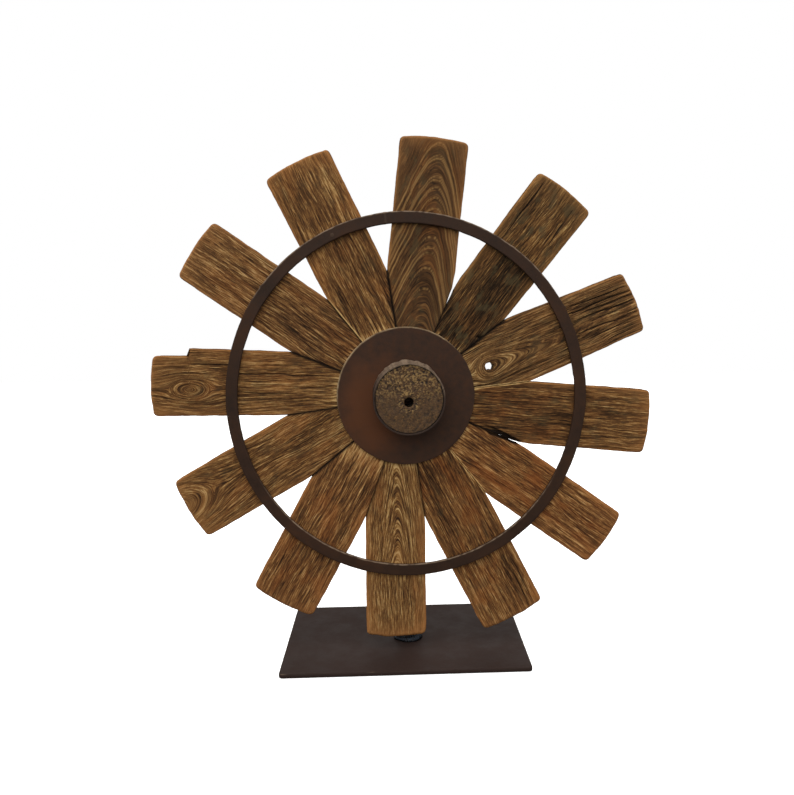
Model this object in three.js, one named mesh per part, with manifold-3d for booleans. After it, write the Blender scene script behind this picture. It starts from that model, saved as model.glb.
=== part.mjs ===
// A free-standing windmill ornament. Twelve reclaimed planks stand out from a steel hub
// like the slices of a pie. The hub turns on an axle bolt through a post, and the post is
// welded to a flat base plate.
//
// Millimetres, +Z up. The origin is the centre of the base plate's underside, and the
// front of the wheel faces -Y. The wheel and everything on its axle are drawn flat, with
// x to the right and y up, and "forward" is the distance in front of the base's middle
// line, so a turn of a quarter about X stands them up.

import * as THREE from 'three';
import { mergeVertices } from 'three/addons/utils/BufferGeometryUtils.js';
import Module from 'manifold-3d';

const wasm = await Module();
wasm.setup();

// ---------------------------------------------------------------- driving dimensions

const GAP = 0.3;                    // left between pieces that touch
const SEAM = 0.3;                   // half of the joint between two planks

// Base plate and post
const BASE_CORNERS = [[-152, -105], [148.5, -102.5], [157, 105], [-151.5, 102.5]];
const BASE_THICKNESS = 5;
const BASE_ROUNDING = 5;
const POST_X = 5;
const POST_Y = -6;
const POST_RADIUS = 13.5;
const POST_WALL = 2.6;
const POST_ABOVE_AXLE = 28;
const WELD_WIDTH = 4.5;
const WELD_HEIGHT = 7;

// Wheel, measured in its own plane
const AXLE_HEIGHT = 324.5;
const AXLE_RADIUS = 6;
const DISC_RADIUS = 84;
const DISC_X = -1.6;                // the discs were cut and tacked by eye, from the axle
const DISC_Y = 1.1;
const DISC_THICKNESS = 3;
const SLEEVE_RADIUS = 43;
const SLEEVE_WALL = 2;
const SLEEVE_AHEAD = 31;            // how far the sleeve stands in front of the planks
const SLEEVE_X = 1.6;               // the sleeve is tacked on a little to the axle's right
const SLEEVE_Y = -0.8;
const RING_RADIUS = 213;            // to the middle of the flat bar
const RING_OVAL = 1.5;              // the ring is a little taller than it is wide
const RING_WIDTH = 14;
const RING_THICKNESS = 4;
const PLANK_THICKNESS = 18;
const PLANK_INNER = 50.5;           // radius of a plank's inner corners
const TIP_CORNER = 7;
const TIP_CROWN = 2.5;

// The planks are hand cut, so each has its own direction, in degrees clockwise from the
// top, its own sideways shift from the axle, width near the hub and at the tip, and reach.
const WIDTH_INNER_AT = 165;
const WIDTH_TIP_AT = 300;
const PLANKS = [
  { turn: 6.5, shift: 1.5, inner: 82, tip: 81.5, reach: 311 },
  { turn: 38.3, shift: 0.5, inner: 73.5, tip: 78, reach: 313.5 },
  { turn: 67.8, shift: 1, inner: 81, tip: 74.5, reach: 302.5, knotHole: true },
  { turn: 95.3, shift: 8, inner: 77, tip: 78, reach: 301 },
  { turn: 125.3, shift: 6.5, inner: 74, tip: 73.5, reach: 307.5 },
  { turn: 153, shift: 9.5, inner: 81, tip: 81, reach: 309.5 },
  { turn: 180.2, shift: 15.5, inner: 74, tip: 74, reach: 302.5 },
  { turn: 208.7, shift: 16, inner: 82.5, tip: 81, reach: 301.5 },
  { turn: 240.5, shift: 14, inner: 79.5, tip: 78.5, reach: 302 },
  { turn: 271.6, shift: 14, inner: 78, tip: 82.5, reach: 310.5, step: true },
  { turn: 304.7, shift: 5.5, inner: 77.5, tip: 77.5, reach: 311 },
  { turn: 334, shift: 7, inner: 80.5, tip: 82.5, reach: 309 },
];
const KNOT_HOLE_ALONG = 108;
const KNOT_HOLE_ACROSS = 4.5;
const KNOT_HOLE_RADIUS = 5;
const STEP_ALONG = 264;
const STEP_DEPTH = 10;
const STEP_RUN = 3;

// Fixings
const RING_SCREW_RADIUS = 2.5;
const RING_SCREW_HEAD = 4.8;
const RING_SCREW_HEAD_HEIGHT = 2.6;
const RING_BLIND_SKIN = 1;          // steel left over the end of a ring screw
const SHOWING_SCREW = 11;           // the one ring screw that comes through to the front
const DISC_SCREW_AT = 68;
const DISC_SCREW_RADIUS = 2;
const DISC_SCREW_HEAD = 3.9;
const DISC_SCREW_HEAD_HEIGHT = 2.2;
const DISC_SCREW_LENGTH = 16;

// Hub bearings, axle bolt and its nuts
const WEB_THICKNESS = 4;
const WEB_BORE = 9.3;
const BUSH_RADIUS = 9;
const BUSH_BORE = 6.08;
const BUSH_FLANGE_RADIUS = 12;
const BUSH_FLANGE = 1.5;
const PLUG_THICKNESS = 12;
const PLUG_RECESS = 1;
const PLUG_HOLE_RADIUS = 6;
const PLUG_HOLE_X = 1.1;            // from the axle, in the wheel's plane
const PLUG_HOLE_Y = -4.5;
const HEX_ACROSS_FLATS = 18;
const BOLT_HEAD = 7.5;
const JAM_NUT = 5.8;
const AXLE_NUT = 10;
const WASHER_RADIUS = 12;
const WASHER_THICKNESS = 2;
const CAP_THICKNESS = 3;
const CAP_SPIGOT = 10;

// Where each layer lies, as a distance forward of the base's middle line
const POST_FRONT = -POST_Y + POST_RADIUS;
const POST_BACK = -POST_Y - POST_RADIUS;
const REAR_DISC_BACK = POST_FRONT + 4.5;
const PLANK_BACK = REAR_DISC_BACK + DISC_THICKNESS + GAP;
const PLANK_FRONT = PLANK_BACK + PLANK_THICKNESS;
const SLEEVE_FRONT = PLANK_FRONT + SLEEVE_AHEAD;
const REAR_WEB_BACK = REAR_DISC_BACK + 4.5;
const FRONT_WEB_BACK = REAR_WEB_BACK + 11.5;
const FRONT_BUSH_FACE = FRONT_WEB_BACK + WEB_THICKNESS + GAP + BUSH_FLANGE;
const AXLE_NUT_BACK = FRONT_BUSH_FACE + 2 * GAP + WASHER_THICKNESS;
const AXLE_END = AXLE_NUT_BACK + AXLE_NUT + 2;
const PLUG_FRONT = SLEEVE_FRONT - PLUG_RECESS;

const ROUND = 28;                   // facets on a small round piece
const ROUND_LARGE = 64;             // facets on the ring, the discs and the sleeve
const ROUND_BEARING = 48;           // facets on the axle and the bushes' bores
const ROUND_SCREW = 8;              // facets on a screw

// ---------------------------------------------------------------- materials

function material(color, roughness, metalness) {
  return new THREE.MeshStandardMaterial({ color, roughness, metalness });
}

const rustedSteel = material(0x3b2820, 0.62, 0.55);
const baseSteel = material(0x43393a, 0.5, 0.6);
const sleeveSteel = material(0x5d4c45, 0.45, 0.7);
const weldSteel = material(0x39424f, 0.3, 0.8);
const plainSteel = material(0x6c6a67, 0.4, 0.9);
const bronze = material(0x8a6a3c, 0.4, 0.9);
const endGrain = material(0x4d3a26, 0.85, 0);
const capRubber = material(0x1d1c1b, 0.8, 0);
const plankWoods = [0x5c4430, 0x4f3f2b, 0x4c3a29, 0x57402a, 0x6b4a2e].map((color) => material(color, 0.85, 0));

// ---------------------------------------------------------------- solids

function solidFrom(geometry) {
  geometry.deleteAttribute('normal');
  geometry.deleteAttribute('uv');
  const welded = mergeVertices(geometry, 1e-4);
  const mesh = new wasm.Mesh({
    numProp: 3,
    vertProperties: new Float32Array(welded.attributes.position.array),
    triVerts: new Uint32Array(welded.index.array),
  });
  return new wasm.Manifold(mesh);
}

function geometryFrom(solid) {
  const mesh = solid.getMesh();
  const geometry = new THREE.BufferGeometry();
  geometry.setAttribute('position', new THREE.BufferAttribute(mesh.vertProperties, 3));
  geometry.setIndex(new THREE.BufferAttribute(mesh.triVerts, 1));
  return geometry;
}

// A flat outline made thick: from `back` to `front` in the forward direction.
function slab(shape, back, front, curveSegments = 6) {
  const geometry = new THREE.ExtrudeGeometry(shape, {
    depth: front - back,
    bevelEnabled: false,
    curveSegments,
  });
  geometry.translate(0, 0, back);
  return geometry;
}

function regularShape(radius, sides, x = 0, y = 0) {
  const points = [];
  for (let i = 0; i < sides; i += 1) {
    const angle = (2 * Math.PI * i) / sides;
    points.push(new THREE.Vector2(x + radius * Math.cos(angle), y + radius * Math.sin(angle)));
  }
  return new THREE.Shape(points);
}

function withHole(shape, hole) {
  shape.holes.push(hole);
  return shape;
}

// A round or hexagonal piece with a hole through its middle.
function ringShape(outer, outerSides, inner, innerSides) {
  return withHole(regularShape(outer, outerSides), regularShape(inner, innerSides));
}

// A round outline about the sleeve's own middle line.
function sleeveShape(radius) {
  return regularShape(radius, ROUND_LARGE, SLEEVE_X, SLEEVE_Y);
}

function rod(radius, back, front, sides = ROUND) {
  return slab(regularShape(radius, sides), back, front);
}

function rodAt(radius, point, back, front, sides = ROUND_SCREW) {
  return rod(radius, back, front, sides).translate(point.x, point.y, 0);
}

// A turned piece from its half section, listed as [radius, forward] pairs.
function turned(section, sides) {
  const profile = section.map(([radius, forward]) => new THREE.Vector2(radius, forward));
  return new THREE.LatheGeometry(profile, sides).rotateX(Math.PI / 2);
}

function hexShape(boreRadius) {
  return ringShape(HEX_ACROSS_FLATS / Math.sqrt(3), 6, boreRadius, ROUND_BEARING);
}

// ---------------------------------------------------------------- planks

function plankPoint(plank, along, across) {
  const turn = THREE.MathUtils.degToRad(plank.turn);
  const side = plank.shift + across;
  const x = along * Math.sin(turn) + side * Math.cos(turn);
  const y = along * Math.cos(turn) - side * Math.sin(turn);
  return new THREE.Vector2(x, y);
}

function halfWidth(plank, along) {
  const share = (along - WIDTH_INNER_AT) / (WIDTH_TIP_AT - WIDTH_INNER_AT);
  return THREE.MathUtils.lerp(plank.inner, plank.tip, share) / 2;
}

function edgePoint(plank, along, side) {
  return plankPoint(plank, along, side * halfWidth(plank, along));
}

function crossing(a, b, c, d) {
  const ab = b.clone().sub(a);
  const cd = d.clone().sub(c);
  const share = c.clone().sub(a).cross(cd) / ab.cross(cd);
  return a.clone().addScaledVector(ab, share);
}

// Where the edges of one plank and the next one clockwise part from each other.
function notchPoint(index) {
  const plank = PLANKS[(index + 12) % 12];
  const next = PLANKS[(index + 13) % 12];
  const near = WIDTH_INNER_AT;
  const far = WIDTH_TIP_AT;
  return crossing(
    edgePoint(plank, near, 1), edgePoint(plank, far, 1),
    edgePoint(next, near, -1), edgePoint(next, far, -1),
  );
}

// The two ends of a plank's mitre, each drawn back from the seam by half the joint.
function mitre(notch, side) {
  const outward = notch.clone().normalize();
  const sideways = new THREE.Vector2(-outward.y, outward.x).multiplyScalar(side * SEAM);
  const inner = outward.clone().multiplyScalar(PLANK_INNER).add(sideways);
  return { inner, outer: notch.clone().add(sideways) };
}

function plankShape(index) {
  const plank = PLANKS[index];
  const left = mitre(notchPoint(index - 1), -1);
  const right = mitre(notchPoint(index), 1);
  const end = plank.reach - TIP_CROWN;
  const rightLoss = plank.step ? STEP_DEPTH : 0;
  const rightAcross = halfWidth(plank, end) - rightLoss;
  const leftAcross = -halfWidth(plank, end);
  const shape = new THREE.Shape();

  function line(point) {
    shape.lineTo(point.x, point.y);
  }
  function curve(control, point) {
    shape.quadraticCurveTo(control.x, control.y, point.x, point.y);
  }

  shape.moveTo(left.inner.x, left.inner.y);
  line(left.outer);
  line(plankPoint(plank, end - TIP_CORNER, leftAcross));
  curve(plankPoint(plank, end, leftAcross), plankPoint(plank, end, leftAcross + TIP_CORNER));
  curve(
    plankPoint(plank, end + 2 * TIP_CROWN, (leftAcross + rightAcross) / 2),
    plankPoint(plank, end, rightAcross - TIP_CORNER),
  );
  curve(plankPoint(plank, end, rightAcross), plankPoint(plank, end - TIP_CORNER, rightAcross));
  if (plank.step) {
    line(plankPoint(plank, STEP_ALONG + STEP_RUN, rightAcross));
    line(edgePoint(plank, STEP_ALONG, 1));
  }
  line(right.outer);
  line(right.inner);
  shape.closePath();

  if (plank.knotHole) {
    const centre = plankPoint(plank, KNOT_HOLE_ALONG, KNOT_HOLE_ACROSS);
    withHole(shape, regularShape(KNOT_HOLE_RADIUS, ROUND_SCREW, centre.x, centre.y));
  }
  return shape;
}

function ringScrewPoint(index) {
  return plankPoint(PLANKS[index], RING_RADIUS, 0);
}

function discScrewPoint(index) {
  const middle = mitre(notchPoint(index - 1), -1).inner.add(mitre(notchPoint(index), 1).inner);
  return middle.setLength(DISC_SCREW_AT);
}

function plank(index) {
  const body = solidFrom(slab(plankShape(index), PLANK_BACK, PLANK_FRONT));
  const boltHole = rodAt(RING_SCREW_RADIUS + GAP, ringScrewPoint(index), PLANK_BACK - 1, PLANK_FRONT + 1);
  const pilotEnd = REAR_DISC_BACK + DISC_SCREW_LENGTH + GAP;
  const pilot = rodAt(DISC_SCREW_RADIUS + GAP, discScrewPoint(index), PLANK_BACK - 1, pilotEnd);
  return geometryFrom(body.subtract(solidFrom(boltHole)).subtract(solidFrom(pilot)));
}

// ---------------------------------------------------------------- wheel metalwork

function ringScrewEnd(index) {
  const front = PLANK_FRONT + GAP + RING_THICKNESS;
  return index === SHOWING_SCREW ? front - 0.4 : front - RING_BLIND_SKIN - GAP;
}

function ring() {
  const back = PLANK_FRONT + GAP;
  const front = back + RING_THICKNESS;
  const outer = RING_RADIUS + RING_WIDTH / 2;
  const shape = ringShape(outer, ROUND_LARGE, outer - RING_WIDTH, ROUND_LARGE);
  const round = slab(shape, back, front);
  round.scale(1 - RING_OVAL / RING_RADIUS, 1 + RING_OVAL / RING_RADIUS, 1);
  let body = solidFrom(round);
  PLANKS.forEach((_, index) => {
    const end = index === SHOWING_SCREW ? front + 1 : ringScrewEnd(index) + GAP;
    const hole = rodAt(RING_SCREW_RADIUS + GAP, ringScrewPoint(index), back - 1, end);
    body = body.subtract(solidFrom(hole));
  });
  return geometryFrom(body);
}

function discShape() {
  const rim = regularShape(DISC_RADIUS, ROUND_LARGE, DISC_X, DISC_Y);
  return withHole(rim, sleeveShape(SLEEVE_RADIUS + GAP));
}

function rearDisc() {
  const front = REAR_DISC_BACK + DISC_THICKNESS;
  let body = solidFrom(slab(discShape(), REAR_DISC_BACK, front));
  PLANKS.forEach((_, index) => {
    const hole = countersunk(GAP).translate(discScrewPoint(index).x, discScrewPoint(index).y, 0);
    body = body.subtract(solidFrom(hole));
  });
  return geometryFrom(body);
}

function frontDisc() {
  const back = PLANK_FRONT + GAP;
  return slab(discShape(), back, back + DISC_THICKNESS);
}

function sleeve() {
  const shape = withHole(sleeveShape(SLEEVE_RADIUS), sleeveShape(SLEEVE_RADIUS - SLEEVE_WALL));
  return slab(shape, REAR_DISC_BACK, SLEEVE_FRONT);
}

function plug() {
  const hole = regularShape(PLUG_HOLE_RADIUS, ROUND, PLUG_HOLE_X, PLUG_HOLE_Y);
  const shape = withHole(sleeveShape(SLEEVE_RADIUS - SLEEVE_WALL - GAP), hole);
  return slab(shape, PLUG_FRONT - PLUG_THICKNESS, PLUG_FRONT);
}

// A web fits the sleeve, but its bore is on the axle's line.
function bearingWeb(back) {
  const bore = regularShape(WEB_BORE, ROUND);
  const shape = withHole(sleeveShape(SLEEVE_RADIUS - SLEEVE_WALL - GAP), bore);
  return slab(shape, back, back + WEB_THICKNESS);
}

// A bush with its flange at `face`, and its barrel running through the web in the
// direction of `way`, which is 1 for forward and -1 for back.
function bush(face, way) {
  const barrelEnd = face + way * (BUSH_FLANGE + GAP + WEB_THICKNESS + 2);
  const section = [
    [BUSH_BORE, face],
    [BUSH_FLANGE_RADIUS, face],
    [BUSH_FLANGE_RADIUS, face + way * BUSH_FLANGE],
    [BUSH_RADIUS, face + way * BUSH_FLANGE],
    [BUSH_RADIUS, barrelEnd],
    [BUSH_BORE, barrelEnd],
    [BUSH_BORE, face],
  ];
  return turned(way > 0 ? section : section.reverse(), ROUND_BEARING);
}

// A screw with a low domed head against the planks' back.
function ringScrew(index) {
  const seat = PLANK_BACK - GAP;
  const point = ringScrewPoint(index);
  const section = [
    [0, seat - RING_SCREW_HEAD_HEIGHT],
    [RING_SCREW_HEAD * 0.7, seat - RING_SCREW_HEAD_HEIGHT],
    [RING_SCREW_HEAD, seat - RING_SCREW_HEAD_HEIGHT * 0.4],
    [RING_SCREW_HEAD, seat],
    [RING_SCREW_RADIUS, seat],
    [RING_SCREW_RADIUS, ringScrewEnd(index)],
    [0, ringScrewEnd(index)],
  ];
  return turned(section, ROUND_SCREW).translate(point.x, point.y, 0);
}

// A countersunk wood screw, flush with the back of the rear disc and grown by `extra`.
function countersunk(extra) {
  const back = REAR_DISC_BACK - (extra > 0 ? 1 : 0);
  const neck = REAR_DISC_BACK + DISC_SCREW_HEAD_HEIGHT;
  const end = REAR_DISC_BACK + DISC_SCREW_LENGTH + extra;
  const section = [
    [0, back],
    [DISC_SCREW_HEAD + extra, back],
    [DISC_SCREW_HEAD + extra, REAR_DISC_BACK + 0.2],
    [DISC_SCREW_RADIUS + extra, neck],
    [DISC_SCREW_RADIUS + extra, end - 4],
    [extra > 0 ? DISC_SCREW_RADIUS : 0.6, end],
    [0, end],
  ];
  return turned(section, ROUND_SCREW);
}

function discScrew(index) {
  const point = discScrewPoint(index);
  return countersunk(0).translate(point.x, point.y, 0);
}

// ---------------------------------------------------------------- axle

function axleBolt() {
  const headFront = POST_BACK - GAP;
  const head = solidFrom(slab(regularShape(HEX_ACROSS_FLATS / Math.sqrt(3), 6), headFront - BOLT_HEAD, headFront));
  const shank = solidFrom(rod(AXLE_RADIUS, headFront - 1, AXLE_END, ROUND_BEARING));
  return geometryFrom(head.add(shank));
}

function nut(back, thickness) {
  return slab(hexShape(AXLE_RADIUS + GAP), back, back + thickness);
}

function washer(back) {
  const shape = ringShape(WASHER_RADIUS, ROUND, AXLE_RADIUS + GAP, ROUND_BEARING);
  return slab(shape, back, back + WASHER_THICKNESS);
}

// ---------------------------------------------------------------- stand

// The plate was cut by hand and is not quite square.
function basePlate() {
  const shape = new THREE.Shape();
  const corners = BASE_CORNERS.map(([x, y]) => new THREE.Vector2(x, y));
  corners.forEach((corner, index) => {
    const before = corners[(index + corners.length - 1) % corners.length];
    const after = corners[(index + 1) % corners.length];
    const start = before.clone().sub(corner).setLength(BASE_ROUNDING).add(corner);
    const end = after.clone().sub(corner).setLength(BASE_ROUNDING).add(corner);
    if (index === 0) {
      shape.moveTo(start.x, start.y);
    } else {
      shape.lineTo(start.x, start.y);
    }
    shape.quadraticCurveTo(corner.x, corner.y, end.x, end.y);
  });
  shape.closePath();
  return slab(shape, 0, BASE_THICKNESS);
}

function post() {
  const inner = POST_RADIUS - POST_WALL;
  const top = AXLE_HEIGHT + POST_ABOVE_AXLE;
  const tube = solidFrom(slab(ringShape(POST_RADIUS, ROUND, inner, ROUND), BASE_THICKNESS + GAP, top));
  const hole = rod(AXLE_RADIUS + GAP, -POST_RADIUS - 1, POST_RADIUS + 1, ROUND_BEARING);
  hole.rotateX(Math.PI / 2).translate(0, 0, AXLE_HEIGHT);
  return geometryFrom(tube.subtract(solidFrom(hole)));
}

// The fillet of weld metal round the post's foot.
function weldBead() {
  const inner = POST_RADIUS + GAP;
  const foot = BASE_THICKNESS + GAP;
  const section = [
    [inner, foot],
    [inner + WELD_WIDTH, foot],
    [inner + WELD_WIDTH, foot + 1.5],
    [inner + WELD_WIDTH * 0.6, foot + WELD_HEIGHT * 0.62],
    [inner, foot + WELD_HEIGHT],
    [inner, foot],
  ];
  const profile = section.map(([radius, height]) => new THREE.Vector2(radius, height));
  return new THREE.LatheGeometry(profile, ROUND).rotateX(Math.PI / 2);
}

function postCap() {
  const top = AXLE_HEIGHT + POST_ABOVE_AXLE + GAP;
  const spigot = POST_RADIUS - POST_WALL - GAP;
  const section = [
    [0, top - CAP_SPIGOT],
    [spigot, top - CAP_SPIGOT],
    [spigot, top],
    [POST_RADIUS, top],
    [POST_RADIUS, top + CAP_THICKNESS * 0.6],
    [POST_RADIUS * 0.8, top + CAP_THICKNESS],
    [0, top + CAP_THICKNESS],
  ];
  return turned(section, ROUND);
}

// ---------------------------------------------------------------- assembly

const spinner = new THREE.Group();
const standing = new THREE.Group();
const wheel = new THREE.Group();
wheel.position.set(POST_X, 0, AXLE_HEIGHT);
wheel.rotation.x = Math.PI / 2;
standing.position.set(POST_X, POST_Y, 0);
spinner.add(standing, wheel);

function add(group, name, geometry, finish) {
  const mesh = new THREE.Mesh(geometry, finish);
  mesh.name = name;
  group.add(mesh);
}

function numbered(name, index) {
  return `${name}_${String(index + 1).padStart(2, '0')}`;
}

add(spinner, 'base_plate', basePlate(), baseSteel);
add(standing, 'post', post(), rustedSteel);
add(standing, 'post_weld_bead', weldBead(), weldSteel);
add(standing, 'post_cap', postCap(), capRubber);

add(wheel, 'axle_bolt', axleBolt(), plainSteel);
add(wheel, 'axle_jam_nut', nut(POST_FRONT + GAP, JAM_NUT), plainSteel);
add(wheel, 'axle_washer', washer(FRONT_BUSH_FACE + GAP), plainSteel);
add(wheel, 'axle_nut', nut(AXLE_NUT_BACK, AXLE_NUT), plainSteel);

add(wheel, 'hub_sleeve', sleeve(), sleeveSteel);
add(wheel, 'hub_plug', plug(), endGrain);
add(wheel, 'hub_front_disc', frontDisc(), rustedSteel);
add(wheel, 'hub_rear_disc', rearDisc(), rustedSteel);
add(wheel, 'rear_bearing_web', bearingWeb(REAR_WEB_BACK), plainSteel);
add(wheel, 'front_bearing_web', bearingWeb(FRONT_WEB_BACK), plainSteel);
add(wheel, 'rear_bush', bush(REAR_WEB_BACK - GAP - BUSH_FLANGE, 1), bronze);
add(wheel, 'front_bush', bush(FRONT_BUSH_FACE, -1), bronze);
add(wheel, 'ring', ring(), rustedSteel);
PLANKS.forEach((_, index) => {
  add(wheel, numbered('plank', index), plank(index), plankWoods[index % plankWoods.length]);
  add(wheel, numbered('ring_screw', index), ringScrew(index), plainSteel);
  add(wheel, numbered('disc_screw', index), discScrew(index), plainSteel);
});

export default spinner;
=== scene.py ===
"""The looks of a wind spinner: twelve weathered planks on a steel hub, a steel ring across
them, and a post on a base plate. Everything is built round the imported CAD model.

Lengths inside this script are millimetres and become metres when a mesh is made. Pieces of
the wheel are drawn in the wheel's own plane: x to the right and z up from the axle, and
"forward" is the distance in front of the base's middle line.
"""

import math

import bmesh
import bpy
import numpy as np
from mathutils import Matrix, Vector

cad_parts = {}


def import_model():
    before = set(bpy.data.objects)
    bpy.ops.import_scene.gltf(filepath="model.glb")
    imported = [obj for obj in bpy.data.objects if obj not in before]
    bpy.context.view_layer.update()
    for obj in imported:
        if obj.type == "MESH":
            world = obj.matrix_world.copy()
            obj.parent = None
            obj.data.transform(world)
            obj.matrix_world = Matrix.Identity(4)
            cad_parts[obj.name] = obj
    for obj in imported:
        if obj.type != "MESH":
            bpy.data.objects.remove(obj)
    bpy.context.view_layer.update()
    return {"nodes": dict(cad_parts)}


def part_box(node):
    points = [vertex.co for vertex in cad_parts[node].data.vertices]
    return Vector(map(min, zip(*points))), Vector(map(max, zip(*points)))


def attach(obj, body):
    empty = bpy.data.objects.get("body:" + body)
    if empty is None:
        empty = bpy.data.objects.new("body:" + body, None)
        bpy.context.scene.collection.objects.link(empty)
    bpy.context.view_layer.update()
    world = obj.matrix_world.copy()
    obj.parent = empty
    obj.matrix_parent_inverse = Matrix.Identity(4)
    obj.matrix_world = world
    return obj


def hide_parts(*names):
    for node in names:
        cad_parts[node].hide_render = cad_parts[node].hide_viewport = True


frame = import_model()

MM = 0.001
TAU = 2 * math.pi

# ------------------------------------------------------------------ where the CAD parts are


def span(node):
    """A node's lowest and highest corner in millimetres."""
    low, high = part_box(node)
    return np.array(low) / MM, np.array(high) / MM


def middle(node):
    """The middle of a node's box in millimetres."""
    low, high = span(node)
    return (low + high) / 2


def layers(node):
    """How far forward a node's back and front lie."""
    low, high = span(node)
    return -high[1], -low[1]


axle_middle = middle("axle_washer")
HUB_X = axle_middle[0]
HUB_Z = axle_middle[2]


def in_wheel(point):
    """A point of the frame, in millimetres, seen from the axle in the wheel's plane."""
    return np.array([point[0] - HUB_X, point[2] - HUB_Z])


def round_part(node):
    """Where the middle of a round node is in the wheel's plane, and the node's radius."""
    low, high = span(node)
    return in_wheel((low + high) / 2), (high[0] - low[0]) / 2


# ------------------------------------------------------------------ noise made with numbers


def lattice(ix, iy, seed):
    """A repeatable number from 0 to 1 for each whole-numbered place."""
    h = (ix.astype(np.int64) * 374761393 + iy.astype(np.int64) * 668265263 + seed * 974634777) & 0xFFFFFFFF
    h = ((h ^ (h >> 13)) * 1274126177) & 0xFFFFFFFF
    return ((h ^ (h >> 16)) & 0xFFFF) / 65535.0


def noise(x, y, seed):
    """Smooth value noise from 0 to 1."""
    x, y = np.broadcast_arrays(np.asarray(x, float), np.asarray(y, float))
    ix, iy = np.floor(x), np.floor(y)
    fx, fy = x - ix, y - iy
    fx = fx * fx * (3 - 2 * fx)
    fy = fy * fy * (3 - 2 * fy)
    low = lattice(ix, iy, seed) * (1 - fx) + lattice(ix + 1, iy, seed) * fx
    high = lattice(ix, iy + 1, seed) * (1 - fx) + lattice(ix + 1, iy + 1, seed) * fx
    return low * (1 - fy) + high * fy


def cloud(x, y, seed, octaves=3, gain=0.5):
    """Several octaves of noise, from 0 to 1, with a mean of about a half."""
    total, weight, whole = 0.0, 1.0, 0.0
    for octave in range(octaves):
        total = total + weight * noise(x * 2**octave, y * 2**octave, seed + 17 * octave)
        whole += weight
        weight *= gain
    return total / whole


def step_up(value, start, end):
    """A smooth step from 0 at the start to 1 at the end, which may be the lower of the two."""
    t = np.clip((value - start) / (end - start), 0, 1)
    return t * t * (3 - 2 * t)


# ------------------------------------------------------------------ meshes


def world(x, z, forward):
    """Wheel plane to the frame, in metres."""
    x, z, forward = np.broadcast_arrays(x, z, forward)
    return np.stack([x + HUB_X, -forward, z + HUB_Z], -1) * MM


def make_piece(node, points, faces, material, body, fields, sharp=None):
    """A finished piece that stands for one CAD node. Points are metres in the frame. The
    material reads the fields, and edges that turn by more than "sharp" degrees stay sharp."""
    mesh = bpy.data.meshes.new(node + "_detail")
    mesh.from_pydata(points, [], faces)
    mesh.update()
    piece = bpy.data.objects.new(node + "_detail", mesh)
    bpy.context.scene.collection.objects.link(piece)
    work = bmesh.new()
    work.from_mesh(mesh)
    if work.calc_volume(signed=True) < 0:
        bmesh.ops.reverse_faces(work, faces=work.faces[:])
    for face in work.faces:
        face.smooth = True
    if sharp is not None:
        for edge in work.edges:
            if len(edge.link_faces) == 2 and edge.calc_face_angle(0) > math.radians(sharp):
                edge.smooth = False
    work.to_mesh(mesh)
    work.free()
    for name, values in fields.items():
        kind, entry = ("FLOAT_VECTOR", "vector") if values.ndim == 2 else ("FLOAT", "value")
        layer = mesh.attributes.new(name, kind, "POINT")
        layer.data.foreach_set(entry, values.astype(np.float32).ravel())
    mesh.materials.append(material)
    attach(piece, body)
    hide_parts(node)


def grid_faces(rows, columns, wrap_rows=False, wrap_columns=False):
    """Quads between the points of a grid that is numbered row by row."""
    last_row = rows if wrap_rows else rows - 1
    last_column = columns if wrap_columns else columns - 1
    i, j = np.meshgrid(np.arange(last_row), np.arange(last_column), indexing="ij")
    i, j = i.ravel(), j.ravel()
    i2, j2 = (i + 1) % rows, (j + 1) % columns
    return np.stack([i * columns + j, i * columns + j2, i2 * columns + j2, i2 * columns + j], 1)


def open_edges(faces):
    """The directed edges of faces that no neighbouring face shares."""
    edges = {}
    for corners in faces:
        for a, b in zip(corners, np.roll(corners, -1)):
            edges[(a, b)] = True
    return [(a, b) for a, b in edges if (b, a) not in edges]


def make_grid_piece(node, points, faces, finish, body, sharp, fields):
    """A piece whose points are a grid, with a value of each field for each point."""
    fields = {name: np.broadcast_to(values, points.shape[:2]).ravel() for name, values in fields.items()}
    make_piece(node, points.reshape(-1, 3), faces, finish, body, fields, sharp)


def make_hoop(node, points, finish, body, slot, sharp=None, **fields):
    """A piece whose closed section (columns) is carried round a closed loop (rows)."""
    faces = grid_faces(*points.shape[:2], True, True).tolist()
    make_grid_piece(node, points, faces, finish, body, sharp, fields)


def make_rod(node, points, finish, body, slot, sharp=None, **fields):
    """A capped piece: rows of closed outlines from one end to the other."""
    rows, columns = points.shape[:2]
    faces = grid_faces(rows, columns, False, True).tolist()
    faces.append(list(range(columns))[::-1])
    faces.append(list(range((rows - 1) * columns, rows * columns)))
    make_grid_piece(node, points, faces, finish, body, sharp, fields)


def angles(count):
    """A full turn in equal steps."""
    return np.arange(count) * TAU / count


def spun(radial, forward, turn, centre=(0, 0)):
    """Points round a line parallel to the axle. A turn is clockwise from the top."""
    x, z = centre[0] + radial * np.sin(turn), centre[1] + radial * np.cos(turn)
    return world(x, z, forward + 0 * turn)


def upright(x, y, z):
    """Points of the stand, from millimetres in the frame to metres."""
    x, y, z = np.broadcast_arrays(x, y, z)
    return np.stack([x, y, z], -1) * MM


def spun_upright(radial, height, turn, centre):
    """Points round an upright line."""
    x, y = centre[0] + radial * np.sin(turn), centre[1] + radial * np.cos(turn)
    return upright(x, y, height + 0 * turn)


def hexagon(angle, across_flats):
    """Distance from the middle of a hexagon to its side, at an angle."""
    turn = (angle + math.pi / 6) % (math.pi / 3) - math.pi / 6
    return across_flats / 2 / np.cos(turn)


# ------------------------------------------------------------------ node graphs


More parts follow.
